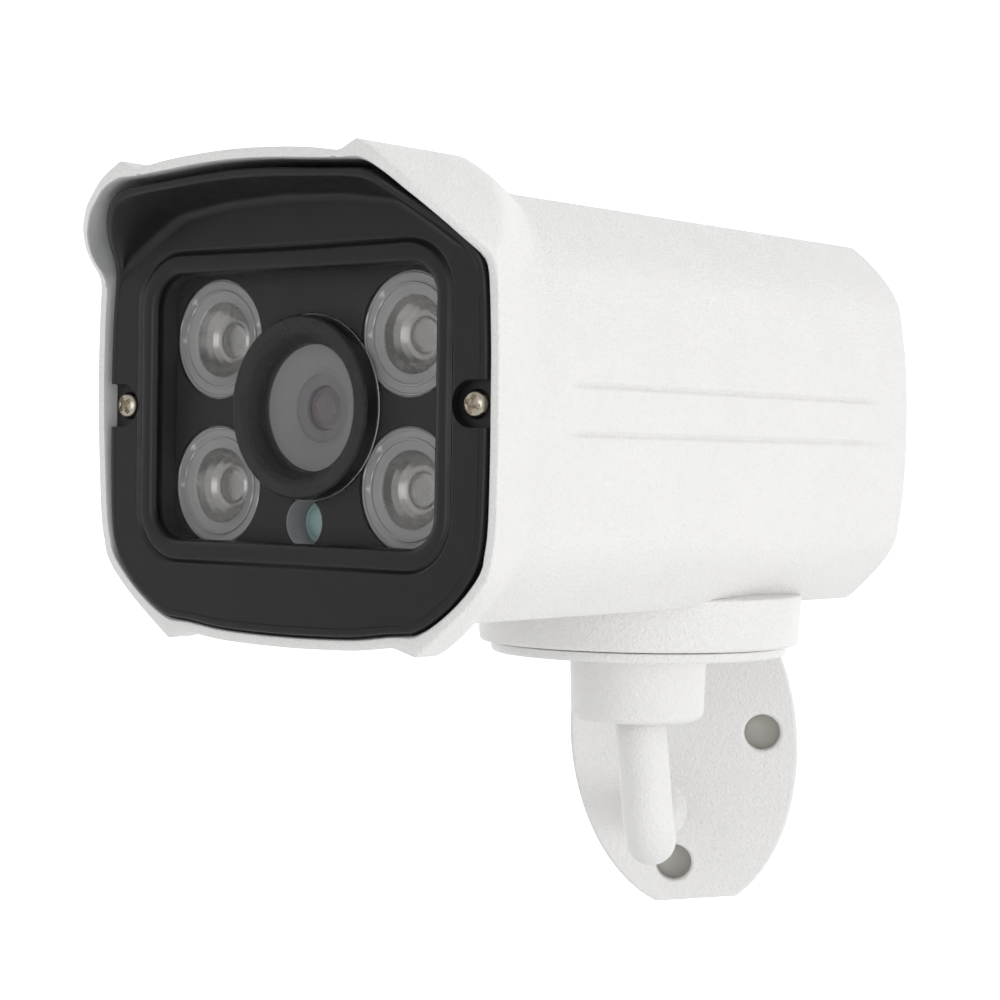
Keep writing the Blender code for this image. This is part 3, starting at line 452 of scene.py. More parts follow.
def coat(name, colour, rough, metal=0.0, vary=0.05, rough_vary=0.06, grain=((900, 0.25), (2600, 0.2)),
         bump=0.1, distance=0.0001, edge_glint=None, **constants):
    """Procedural surface: mottled colour and roughness, fine grain as bump, optional painted highlight that
    lightens pointy edges.

    grain is (scale per metre, weight) for each layer of noise; constants are set on the shader itself.
    """
    material = bpy.data.materials.new(name)
    material.use_nodes = True
    nodes, links = material.node_tree.nodes, material.node_tree.links
    shader = nodes["Principled BSDF"]
    place = nodes.new("ShaderNodeTexCoord")

    def noise(scale, detail=3.0):
        """Noise in the piece's own space."""
        node = nodes.new("ShaderNodeTexNoise")
        node.inputs["Scale"].default_value = scale
        node.inputs["Detail"].default_value = detail
        node.inputs["Roughness"].default_value = 0.6
        links.new(place.outputs["Object"], node.inputs["Vector"])
        return node.outputs["Fac"]

    def spread(value, low, high):
        """The noise's middle range taken to low and high."""
        node = nodes.new("ShaderNodeMapRange")
        node.inputs["From Min"].default_value = 0.3
        node.inputs["From Max"].default_value = 0.7
        node.inputs["To Min"].default_value = low
        node.inputs["To Max"].default_value = high
        links.new(value, node.inputs["Value"])
        return node.outputs["Result"]

    mottle = noise(90, 4)
    mix = nodes.new("ShaderNodeMix")
    mix.data_type = "RGBA"
    mix.inputs["A"].default_value = (*[c * (1 - vary) for c in colour], 1)
    mix.inputs["B"].default_value = (*[min(1, c * (1 + vary)) for c in colour], 1)
    links.new(spread(mottle, 0, 1), mix.inputs["Factor"])
    colour_out = mix.outputs["Result"]
    # painted highlight: pointy edges are mixed towards a lighter colour, standing in for light caught on the
    # edges
    if edge_glint:
        glint_colour, amount = edge_glint
        point = nodes.new("ShaderNodeNewGeometry")
        edge = nodes.new("ShaderNodeMapRange")
        edge.inputs["From Min"].default_value = 0.52
        edge.inputs["From Max"].default_value = 0.62
        edge.inputs["To Max"].default_value = amount
        links.new(point.outputs["Pointiness"], edge.inputs["Value"])
        glint_mix = nodes.new("ShaderNodeMix")
        glint_mix.data_type = "RGBA"
        glint_mix.inputs["B"].default_value = (*glint_colour, 1)
        links.new(edge.outputs["Result"], glint_mix.inputs["Factor"])
        links.new(colour_out, glint_mix.inputs["A"])
        colour_out = glint_mix.outputs["Result"]
    links.new(colour_out, shader.inputs["Base Color"])
    links.new(spread(noise(300), max(0.02, rough - rough_vary), min(1, rough + rough_vary)),
              shader.inputs["Roughness"])
    total = None
    for scale, weight in grain:
        layer = nodes.new("ShaderNodeMath")
        layer.operation = "MULTIPLY"
        layer.inputs[1].default_value = weight
        links.new(noise(scale, 2), layer.inputs[0])
        if total is None:
            total = layer.outputs[0]
        else:
            add = nodes.new("ShaderNodeMath")
            add.operation = "ADD"
            links.new(total, add.inputs[0])
            links.new(layer.outputs[0], add.inputs[1])
            total = add.outputs[0]
    relief = nodes.new("ShaderNodeBump")
    relief.inputs["Strength"].default_value = bump
    relief.inputs["Distance"].default_value = distance
    links.new(total, relief.inputs["Height"])
    links.new(relief.outputs["Normal"], shader.inputs["Normal"])
    shader.inputs["Metallic"].default_value = metal
    for socket, value in constants.items():
        shader.inputs[socket.replace("_", " ")].default_value = value
    return material


WHITE = coat("white_powder_coat", (0.82, 0.812, 0.805), 0.42, vary=0.012, bump=1.0, distance=0.00045,
             grain=((1300, 0.5), (3000, 0.5)))
# painted shade: the white casting's inner lining in a darker grey, for the shade it lies in
LINING_SHADE = coat("shaded_casting", (0.42, 0.425, 0.43), 0.55, vary=0.10, bump=0.6, distance=0.0002,
              grain=((1300, 0.5), (3400, 0.5)))
BLACK = coat("satin_black", (0.0085, 0.0085, 0.0088), 0.38, vary=0.10, bump=0.22,
             grain=((2400, 0.4), (6000, 0.4)), Specular_IOR_Level=0.38)
MASK = coat("mask_black", (0.027, 0.0262, 0.0275), 0.50, vary=0.04, bump=0.03,
            grain=((3000, 0.4), (7000, 0.3)), Specular_IOR_Level=0.25)
RUBBER = coat("grained_rubber", (0.020, 0.020, 0.020), 0.52, vary=0.18, bump=0.9, distance=0.0003,
              grain=((1500, 0.6), (3600, 0.5)), Specular_IOR_Level=0.35)
SMOOTH_RUBBER = coat("seal_rubber", (0.020, 0.020, 0.020), 0.70, vary=0.12, bump=0.25, grain=((1500, 0.5),))
PAD = coat("grey_pad", (0.42, 0.415, 0.38), 0.85, vary=0.10, bump=0.4, grain=((1500, 0.5), (4000, 0.4)))
NICKEL = coat("nickel_plate", (0.52, 0.475, 0.395), 0.24, metal=1.0, vary=0.10, rough_vary=0.08, bump=0.10,
              grain=((1200, 0.5), (5000, 0.3)))
STEEL = coat("turned_steel", (0.58, 0.57, 0.55), 0.30, metal=1.0, vary=0.08, bump=0.12, grain=((4000, 0.5),))
BRASS = coat("turned_brass", (0.72, 0.53, 0.24), 0.30, metal=1.0, vary=0.08, bump=0.10, grain=((4000, 0.5),))
ANODISED = coat("black_anodised", (0.030, 0.030, 0.033), 0.34, metal=0.3, vary=0.10, bump=0.10,
                grain=((5000, 0.5),))
NYLON = coat("natural_nylon", (0.72, 0.70, 0.63), 0.50, vary=0.04, bump=0.12, grain=((2500, 0.5),))
MOULDED = coat("black_moulding", (0.020, 0.020, 0.021), 0.50, vary=0.10, bump=0.15, grain=((2600, 0.5),))
BOARD_GREEN = coat("green_board", (0.015, 0.11, 0.045), 0.38, vary=0.20, bump=0.12, grain=((1300, 0.5),))
BOARD_WHITE = coat("white_board", (0.66, 0.66, 0.62), 0.42, vary=0.05, bump=0.10, grain=((1300, 0.5),))
COIL = coat("varnished_coil", (0.33, 0.12, 0.04), 0.32, vary=0.15, bump=0.3, grain=((3500, 0.6),))
CHIP = coat("sensor_face", (0.035, 0.045, 0.07), 0.16, vary=0.20, bump=0.03, grain=((6000, 0.4),))
EMITTER = coat("led_phosphor", (0.72, 0.55, 0.10), 0.40, vary=0.08, bump=0.15, grain=((3500, 0.5),))
# painted highlight: the stepped flange's ridges are lightened to near white
CLEAR_PLASTIC = coat("clear_lens_plastic", (0.40, 0.40, 0.405), 0.20, vary=0.05, rough_vary=0.04, bump=0.03,
                     grain=((700, 0.5), (2400, 0.3)), edge_glint=((0.85, 0.85, 0.86), 0.9), Alpha=0.72, IOR=1.49)
BOWL = coat("led_bowl", (0.37, 0.365, 0.355), 0.27, metal=0.62, vary=0.02, rough_vary=0.03, bump=0.02,
            grain=((500, 0.5),))
PANE = coat("window_glass", (0.05, 0.055, 0.055), 0.03, vary=0.02, rough_vary=0.01, bump=0.01,
            grain=((400, 0.5),), Alpha=0.02, IOR=1.5)
OPTIC = coat("coated_optic", (0.20, 0.195, 0.205), 0.06, vary=0.03, rough_vary=0.02, bump=0.005,
             grain=((300, 0.5),), Alpha=0.12, IOR=1.6)
CONE = coat("barrel_cone", (0.36, 0.352, 0.362), 0.55, vary=0.04, bump=0.05, grain=((2500, 0.4),))
STOP = coat("stop_ring", (0.28, 0.272, 0.282), 0.50, vary=0.03, bump=0.04, grain=((2500, 0.4),))
# painted highlight: the optic's rim is lightened to a light pink ring
PINK_OPTIC = coat("coated_inner_optic", (0.27, 0.235, 0.25), 0.10, vary=0.05, rough_vary=0.02, bump=0.01,
                  grain=((500, 0.5),), edge_glint=((0.62, 0.52, 0.54), 0.7), Alpha=0.9, IOR=1.7)
FILTER = coat("filter_glass", (0.30, 0.06, 0.09), 0.05, vary=0.05, rough_vary=0.02, bump=0.01,
              grain=((500, 0.5),), Alpha=0.5, IOR=1.5)
TEAL = coat("photocell_face", (0.32, 0.46, 0.46), 0.22, vary=0.15, rough_vary=0.05, bump=0.05,
            grain=((1500, 0.5),), IOR=1.5)
SLEEVE = coat("clear_sleeve", (0.34, 0.34, 0.35), 0.30, vary=0.08, rough_vary=0.05, bump=0.05,
              grain=((1500, 0.5),), IOR=1.49)


def paint(piece, material):
    """One finish on the whole piece."""
    piece.data.materials.clear()
    piece.data.materials.append(material)


def paint_where(piece, material, chosen, place=CAMERA):
    """Another finish on the faces chosen by their distance from the axis and their depth."""
    piece.data.materials.append(material)
    number = len(piece.data.materials) - 1
    to_local = place.inverted()
    for polygon in piece.data.polygons:
        spot = to_local @ polygon.center
        if chosen(spot.xz.length, spot.y):
            polygon.material_index = number


# ---------------------------------------------------------------- white body

def smooth_min(a, b, width):
    """The lesser of two values, with a rounded change from one to the other."""
    return 0.5 * (a + b - np.sqrt((a - b) ** 2 + width ** 2))


def taper_share(rim, depth):
    """How far each outline sample has gone from the rim's section to the plain body's at a depth."""
    height = np.abs(rim[:, 1])
    flank = np.clip((33.0 - height) / 12.0, 0, 1)
    upper = rim[:, 1] > 0
    start = flank * TAPER_FLANK[0] + (1 - flank) * np.where(upper, TAPER_TOP[0], TAPER_FOOT[0])
    end = flank * TAPER_FLANK[1] + (1 - flank) * np.where(upper, TAPER_TOP[1], TAPER_FOOT[1])
    raw = (depth - start) / (end - start)
    share = np.maximum(0, smooth_min(raw, 1.0, 0.09))
    return np.clip(share, 0, 1) ** (1.0 + 0.35 * (1 - flank))


def groove_cut(curve, depth):
    """How deep the side grooves are at each sample; their ends run out to points."""
    run = np.clip(min((depth - GROOVE_START) / 4.0, (GROOVE_END - depth) / 9.0), 0, 1)
    depths = np.zeros(len(curve))
    for height in GROOVES:
        off = np.abs(curve[:, 1] - height) / (GROOVE_HALF * (0.35 + 0.65 * run))
        depths = np.maximum(depths, np.clip(1.25 - 1.25 * off, 0, 1))
    return np.where(np.abs(curve[:, 0]) > 30, depths * GROOVE_DEPTH * run, 0)


def make_housing():
    """Hooded shell: rings of samples from the inner ledge, over the rim, to the rear and back inside."""
    rim, plain = smooth_outline(RIM_HALF, 0, 0.25), smooth_outline(BODY_HALF, 0)
    rim_in, plain_in = smooth_outline(SEAM_HALF, RIM_WALL, 0.8), smooth_outline(BODY_HALF, RIM_WALL)
    seat, bore = smooth_outline(BODY_HALF, REAR_WALL), smooth_outline(BODY_HALF, HOLLOW_WALL)
    keep = pick_samples(plain)
    profile = sorted(HOOD_PROFILE)
    front = np.interp(rim[:, 1], [z for z, _ in profile], [y for _, y in profile])
    front = soften(front, 0.6 / SAMPLE)

    rings = []

    def ring(depth, part):
        """One ring at a depth; part is 0 on the outer skin and 1 on the hood's inner skin."""
        depth = np.broadcast_to(np.asarray(depth, float), front.shape)
        share = taper_share(rim, depth)[:, None]
        outer = rim + (plain - rim) * share
        inner = rim_in + (plain_in - rim_in) * share
        flat = outer + (inner - outer) * part
        rings.append(np.column_stack([flat[:, 0], depth, flat[:, 1]])[keep])

    for t in (1.0, 0.8, 0.55, 0.35, 0.15, 0.0):
        ring(LEDGE * t + (front + RIM_EDGE) * (1 - t), 1.0)
    turn = RIM_EDGE / RIM_WALL
    for a in (30, 60, 90):
        angle = math.radians(a)
        ring(front + RIM_EDGE * (1 - math.sin(angle)), 1 - turn * (1 - math.cos(angle)))
    ring(front, 0.5)
    for a in (0, 30, 60):
        angle = math.radians(a)
        ring(front + RIM_EDGE * (1 - math.cos(angle)), turn * (1 - math.sin(angle)))
    start = 3.0
    for t in (0.0, 0.2, 0.4, 0.6, 0.8):
        ring((front + RIM_EDGE) * (1 - t) + start * t, 0.0)
    for depth in np.arange(start, 24.0, 1.0):
        ring(depth, 0.0)
    for depth in (24, 25, 26, 27, 28, 30, 34, 44, 58, 72, 86, 98, 104, 106, 108, 110, 112, 114, 116):
        cut_in = groove_cut(plain, depth)
        side = np.sign(plain[:, 0])
        rings.append(np.column_stack([plain[:, 0] - side * cut_in, np.full(len(plain), float(depth)),
                                      plain[:, 1]])[keep])
    rear_in = smooth_outline(BODY_HALF, REAR_EDGE)
    for a in (0, 22.5, 45, 67.5, 90):
        angle = math.radians(a)
        part = 1 - math.cos(angle)
        flat = plain + (rear_in - plain) * part
        depth = BODY_END - REAR_EDGE + REAR_EDGE * math.sin(angle)
        rings.append(np.column_stack([flat[:, 0], np.full(len(flat), depth), flat[:, 1]])[keep])
    for curve, depth in ((seat, BODY_END), (seat, BODY_END - 0.15), (seat, REAR_LEDGE), (bore, REAR_LEDGE),
                         (bore, 60.0), (bore, LEDGE)):
        rings.append(np.column_stack([curve[:, 0], np.full(len(curve), depth), curve[:, 1]])[keep])
    vertices = np.concatenate(rings)
    faces = grid_faces(len(rings), len(keep))
    shell = to_object("housing_shell", vertices, faces, CAMERA, "camera", ("housing",), sharp=42)
    paint(shell, WHITE)
    shade_hood_lining(shell)
    make_boss()


def shade_hood_lining(shell):
    """Painted shade: a darker grey on the faces in front of the ledge that look towards the lens axis, the
    hood's lining where shade falls.
    """
    shell.data.materials.append(LINING_SHADE)
    to_camera = CAMERA.inverted()
    for polygon in shell.data.polygons:
        place = to_camera @ polygon.center
        facing = to_camera.to_3x3() @ polygon.normal * MM
        if place.y < LEDGE + 0.1 and facing.x * place.x + facing.z * place.z < -0.3 * place.xz.length:
            polygon.material_index = 1


def make_boss():
    """Round foot of the casting, where the flange sits."""
    profile = [(0, -29.0), (22.4, -29.0), (28.35, -29.9), (27.9, -38.1), (27.5, -38.55), (0, -38.55)]
    boss = lathe("housing_boss", fillet(profile, [0, 0, 0.5, 0.4, 0.2, 0], closed=False), HUB_AXIS, "camera",
                 steps=160, closed=False, axis="Z")
    paint(boss, WHITE)


# ---------------------------------------------------------------- black front

def ray_lengths(outline, angles, centre):
    """Distance from the centre to the outline along each direction."""
    points = np.asarray(outline, float) - centre
    ends = np.roll(points, -1, 0)
    edge = ends - points
    result = np.zeros(len(angles))
    for index, angle in enumerate(angles):
        direction = np.array((math.sin(angle), math.cos(angle)))
        cross = direction[0] * edge[:, 1] - direction[1] * edge[:, 0]
        cross = np.where(np.abs(cross) < 1e-9, 1e-9, cross)
        reach = (points[:, 0] * edge[:, 1] - points[:, 1] * edge[:, 0]) / cross
        along = (points[:, 0] * direction[1] - points[:, 1] * direction[0]) / cross
        hit = (along >= -1e-6) & (along <= 1 + 1e-6) & (reach > 0)
        result[index] = reach[hit].max() if hit.any() else 60.0
    return result


def make_bezel():
    """Black front, made of rings cut by rays from one centre, from its outer back edge to the pane's seat."""
    centre = np.array((0.0, 0.3))
    count = 480
    angles = np.arange(count) * 2 * math.pi / count
    directions = np.column_stack([np.sin(angles), np.cos(angles)])

    def outer(wall_top, wall_side, wall_foot):
        """The casting's outline moved in by a wall that differs at the top, sides and foot."""
        control = whole(SEAM_HALF)
        walls = np.interp(control[:, 1], (-29, -22, 18, 22), (wall_foot, wall_side, wall_side, wall_top))
        curve = soften(spline(inset(control, walls), STOPS), 0.7 / SAMPLE)
        return ray_lengths(curve, angles, centre)

    def eave(half):
        """The eave's edge, with the rest of the outline far away."""
        below = [(60, 14), (60, -60), (0, -60)]
        closed = whole(list(half) + below)
        return ray_lengths(closed, angles, centre)

    def rect(half_x, half_z, radius):
        """A rounded rectangle."""
        return ray_lengths(rounded_rect(half_x, half_z, radius, 16), angles, centre)

    skin = outer(*SKIN_INSETS)
    step_out = outer(STEP_INSET, STEP_INSET, STEP_INSET)
    height = centre[1] + skin * directions[:, 1]
    profile = sorted(EAVE_PROFILE)
    lip_y = np.interp(height, [z for z, _ in profile], [y for _, y in profile])
    lip_y = np.minimum(FACE, soften(lip_y, 3))
    drop = FACE - lip_y
    roof = np.clip(drop / 2.0, 0, 1)
    corner = soften(smooth_min(eave(EAVE_AT_FACE), skin - 0.9, 0.3), 2)
    lip_in = soften(smooth_min(eave(EAVE_AT_LIP), skin - LIP_WIDTH, 0.3), 2)
    lip_in = skin - LIP_WIDTH + (lip_in - skin + LIP_WIDTH) * roof
    lip_in = np.minimum(lip_in, skin - LIP_WIDTH)

    rings = []

    def ring(radius, depth):
        """One ring of the given lengths along the rays."""
        flat = centre + directions * radius[:, None]
        rings.append(np.column_stack([flat[:, 0], np.broadcast_to(depth, radius.shape), flat[:, 1]]))

    ring(step_out, BEZEL_BACK)
    ring(step_out, STEP_DEPTH + 0.2)
    ring(step_out - 0.05, STEP_DEPTH)
    ring(skin + 0.1, STEP_DEPTH)
    ring(skin, STEP_DEPTH - 0.2)
    for t in (0.25, 0.5, 0.75):
        ring(skin, (STEP_DEPTH - 0.2) * (1 - t) + (lip_y + LIP_ROUND) * t)
    for a in (0, 30, 60, 90):
        angle = math.radians(a)
        ring(skin - LIP_ROUND * (1 - math.cos(angle)), lip_y + LIP_ROUND * (1 - math.sin(angle)))
    inner_r = np.minimum(0.6, drop * 0.4)
    apart = 0.04  # keeps successive rings from meeting where there is no eave
    for order, a in enumerate((90, 60, 30, 0)):
        angle = math.radians(a)
        ring(lip_in + inner_r * (1 - math.cos(angle)) - apart * order,
             lip_y + inner_r * (1 - math.sin(angle)))
    blend = np.minimum(1.4, drop * 0.4)
    for order, t in enumerate((0.2, 0.4, 0.6, 0.8, 1.0), 4):
        ring(lip_in * (1 - t) + corner * t - np.sin(t * math.pi) * 0.25 * roof - apart * order,
             (lip_y + inner_r) * (1 - t) + (FACE - blend) * t)
    for order, a in enumerate((30, 60, 90), 9):
        angle = math.radians(a)
        ring(corner - blend * (1 - math.cos(angle)) - apart * order,
             FACE - blend * (1 - math.sin(angle)))
    line = rect(*FRONT_LINE)
    for off, depth in ((0.75, 0.0), (0.45, 0.1), (0.22, 0.36), (0.0, 0.48), (-0.22, 0.36), (-0.5, 0.08),
                       (-0.9, -0.02)):
        ring(line + off, FACE + depth)
    for off, rounder, depth in ((1.3, 1.2, -0.02), (0.75, 0.7, 0.06), (0.35, 0.3, 0.26), (0.1, 0.1, 0.6)):
        ring(rect(WINDOW[0] + off, WINDOW[1] + off, WINDOW[2] + rounder), FACE + depth)
    ring(rect(*WINDOW), 0.4)
    ring(rect(*PANE_SEAT), 0.4)
    ring(rect(*PANE_SEAT), BEZEL_BACK)
    bezel = to_object("front_frame", np.concatenate(rings), grid_faces(len(rings), count), CAMERA,
                      "camera", ("front_bezel",), sharp=48)
    for side in (-1, 1):
        half_circle = [(side * NOTCH_X + NOTCH_R * math.cos(a) * -side, NOTCH_Z + NOTCH_R * math.sin(a))
                       for a in np.linspace(-math.pi / 2, math.pi / 2, 33)]
        outline = half_circle + [(side * 46, NOTCH_Z + NOTCH_R), (side * 46, NOTCH_Z - NOTCH_R)]
        cut(bezel, *prism(outline, -6, NOTCH_FLOOR), CAMERA)
    paint(bezel, BLACK)
    flatten_normals(bezel)
    for side, name in ((-1, "left"), (1, "right")):
        make_front_screw(name, side)


def cut_cross(screw, slot, low, high, place, spin, axis="Y"):
    """Two crossed slots in a screw's head, turned by spin degrees."""
    for quarter in range(2):
        turn = Matrix.Rotation(math.radians(spin + 90 * quarter), 4, axis)
        cut(screw, *prism(slot, low, high, axis), place @ turn)


def make_front_screw(name, side):
    """Pan head in its notch, with a cross slot that widens at the middle."""
    head = [(0, -1.32), (0.9, -1.27), (1.5, -1.08), (1.9, -0.72), (2.1, -0.3), (2.1, -0.06), (2.02, 0.0),
            (0.95, 0), (0.95, 5.8), (0, 5.8)]
    place = CAMERA @ Matrix.Translation((side * NOTCH_X, NOTCH_FLOOR - 0.05, NOTCH_Z))
    screw = lathe(f"front_screw_{name}_head", head, place, "camera", (f"front_screw_{name}",),
                  steps=56, closed=False)
    spin = 20 if side > 0 else 55
    slot = [(-1.45, -0.3), (-1.2, -0.42), (1.2, -0.42), (1.45, -0.3),
            (1.45, 0.3), (1.2, 0.42), (-1.2, 0.42), (-1.45, 0.3)]
    cut_cross(screw, slot, -2, -0.62, place, spin)
    middle = circle(0.75, steps=20)
    cut(screw, *prism(middle, -2, -0.3), place)
    paint(screw, NICKEL)


# ---------------------------------------------------------------- lamps and lens

def make_lamps():
    """Four lamp lenses: a stepped clear flange round a bright bowl."""
    skin = [(4.2, 13.0), (7.6, 6.7), (9.05, 6.6), (9.2, 6.4), (9.2, 5.1), (9.05, 4.9), (8.85, 4.9),
            (8.78, 4.72), (8.55, 4.72), (8.45, 4.98), (7.5, 5.08), (7.42, 4.8), (7.2, 4.8), (7.1, 5.12),
            (5.9, 5.3)]
    bowl = [(5.72, 5.42), (5.5, 5.9), (5.0, 6.7), (4.3, 7.45), (3.6, 7.95), (3.1, 8.15), (2.8, 8.15),
            (2.6, 8.02), (2.4, 7.88), (1.8, 7.74), (1.0, 7.67), (0.0, 7.65)]
    profile = [(0, 13.0)]
    profile += fillet(skin, 0.08, steps=2, closed=False)
    profile += fillet(bowl, 0.3, steps=3, closed=False)
    number = 0
    for row in LED_ROWS:
        for side in (-1, 1):
            number += 1
            place = CAMERA @ Matrix.Translation((side * LED_X, 0, row))
            lens = lathe(f"lamp_lens_{number}", profile, place, "camera", (f"led_lens_{number}",),
                         steps=96, closed=False, sharp=60)
            paint(lens, CLEAR_PLASTIC)
            paint_where(lens, BOWL, lambda radius, depth: radius < BOWL_R and depth < 9, place)


def make_shroud():
    """Rubber ring round the lens. Its outer side wall is darkened in satin black as painted shade, and the
    thin lip where it meets the mask is given bright steel as a painted highlight line.
    """
    ring = [(10.25, 4.1), (10.25, 9.0), (12.4, 9.0), (12.4, 4.36), (13.82, 4.36), (13.88, 4.28), (13.82, 4.2),
            (13.72, 4.26), (13.55, 4.1), (13.55, 2.1), (13.2, 1.62), (11.5, 1.62), (10.7, 2.2), (9.9, 3.4),
            (9.6, 4.1)]
    radii = [0, 0.1, 0.1, 0.1, 0.03, 0.03, 0.03, 0.03, 0.1, 0.3, 0.4, 0.35, 0.4, 0.2, 0]
    shroud = lathe("lens_hood_ring", fillet(ring, radii, 4), CAMERA, "camera", ("lens_shroud",),
                   steps=160, sharp=50)
    paint(shroud, RUBBER)
    shaded_side_r, shaded_side_start, glint_lip_r = 13.4, 1.95, 13.68
    # painted shade: the ring's outer side wall in satin black, darker than the rubber
    paint_where(shroud, BLACK, lambda radius, depth: radius > shaded_side_r and depth > shaded_side_start)
    # painted highlight: the thin lip at the mask's edge in bright steel
    paint_where(shroud, STEEL, lambda radius, depth: radius > glint_lip_r)


def make_lens():
    """Barrel with a grey cone and stop seen through the front glass, and the inner glass in its middle."""
    barrel = [(9.5, 5.6), (8.4, 5.75), (6.2, 6.4), (5.15, 7.0), (5.0, 7.4), (3.4, 7.5), (3.3, 7.9),
              (3.3, 10.0), (4.6, 10.4), (4.6, 25.4), (6.9, 25.4), (6.9, 12.0), (9.95, 12.0), (9.95, 4.3),
              (9.5, 4.2)]
    piece = lathe("lens_tube", fillet(barrel, 0.12, 3), CAMERA, "lens", ("lens_barrel",), steps=128, sharp=50)
    paint(piece, ANODISED)
    cone_r, stop_r, hole_r = 9.3, 5.0, 3.2
    cone_end, stop_end = 7.45, 10.1
    paint_where(piece, CONE, lambda radius, depth: stop_r < radius < cone_r and depth < cone_end)
    paint_where(piece, STOP, lambda radius, depth: hole_r < radius <= stop_r and depth < stop_end)
    front = [(0, 5.3), (9.2, 5.3), (9.35, 5.2), (9.35, 4.4), (9.15, 4.25), (8.0, 4.08), (6.5, 3.92),
             (4.0, 3.8), (2.0, 3.75), (0, 3.74)]
    paint(lathe("front_optic", front, CAMERA, "lens", ("lens_front_element",), steps=128, closed=False),
          OPTIC)
    inner = [(0, 9.7), (2.0, 9.5), (3.15, 9.0), (3.15, 8.3), (2.7, 8.1), (2.05, 7.98), (2.0, 7.9),
             (1.9, 7.9), (1.85, 7.97), (1.0, 7.9), (0.5, 7.88), (0.4, 7.8), (0, 7.78)]
    paint(lathe("inner_optic", inner, CAMERA, "lens", ("lens_inner_element",), steps=96, closed=False),
          PINK_OPTIC)


def make_light_sensor():
    """Clear sleeve in the mask with a tinted photocell at its bottom."""
    place = CAMERA @ Matrix.Translation((SENSOR_PLACE[0], 0, SENSOR_PLACE[1]))
    sleeve = [(3.45, 4.5), (3.45, 9.0), (3.62, 9.0), (3.62, 4.42), (3.56, 4.36), (3.5, 4.4)]
    paint(lathe("sensor_sleeve", sleeve, place, "camera", ("light_sensor",), steps=72), SLEEVE)
    cell = [(0, 9.3), (3.38, 9.3), (3.43, 9.2), (3.43, 8.5), (3.3, 8.2), (2.9, 8.0), (2.7, 8.05),
            (2.5, 7.8), (1.8, 7.5), (0.9, 7.32), (0, 7.28)]
    photocell = lathe("photocell", cell, place, "camera", steps=72, closed=False)
    paint(photocell, TEAL)


# ---------------------------------------------------------------- bracket

def make_flange():
    """Ring plate and hub under the body, with the socket's mouth."""
    top, low, hub = 6.75, 5.1, -6.7
    mouth = math.acos(MOUTH_R / SOCKET_R)
    socket = [(SOCKET_R * math.cos(a), SOCKET_R * math.sin(a))
              for a in np.linspace(-mouth, math.asin(top / SOCKET_R), 14)]
    outer = [(25.8, top), (25.8, low), (11.95, low), (11.6, hub), (MOUTH_R, hub)]
    rounded = fillet([(6.55, top)] + outer + [(MOUTH_R, -5.0)], [0, 0.25, 0.9, 0.9, 2.6, 0.5, 0], 6)
    profile = rounded[1:-1] + socket
    flange = lathe("bracket_hub", profile, HUB, "camera", ("bracket_flange",), steps=160, axis="Z", sharp=50)
    for index, degrees in enumerate((90, 210, 330)):
        a = math.radians(degrees)
        place = HUB @ Matrix.Translation((FLANGE_SCREW_R * math.cos(a), FLANGE_SCREW_R * math.sin(a), 0))
        sink = [(3.0, low - 0.2), (3.0, low + 0.05), (1.7, low + 1.2), (1.7, top + 0.5)]
        steps = 40
        vertices = [(r * math.cos(2 * math.pi * k / steps), r * math.sin(2 * math.pi * k / steps), z)
                    for r, z in sink for k in range(steps)]
        faces = grid_faces(len(sink), steps, closed=False)
        faces += [tuple(range(steps)), tuple(range(3 * steps, 4 * steps))]
        cut(flange, vertices, faces, place)
        head = [(0, low + 0.12), (2.6, low + 0.12), (2.78, low + 0.3), (1.4, low + 1.4), (1.3, 11.0),
                (0, 11.0)]
        screw = lathe(f"flange_screw_{index + 1}_head", head, place, "camera",
                      (f"flange_screw_{index + 1}",), steps=48, closed=False, axis="Z")
        slot = [(-1.5, -0.3), (1.5, -0.3), (1.5, 0.3), (-1.5, 0.3)]
        cut_cross(screw, slot, low - 1, low + 0.7, place, 30 * index, axis="Z")
        paint(screw, NICKEL)
    paint(flange, WHITE)


def plate_outline():
    """Oval with its two ends cut flat."""
    corner_angle = math.asin(PLATE_FLAT / PLATE_B)
    points = []
    for centre_angle in (0.0, math.pi):
        for a in np.linspace(-corner_angle, corner_angle, 61):
            points.append((PLATE_A * math.cos(centre_angle + a), PLATE_B * math.sin(centre_angle + a)))
    return points


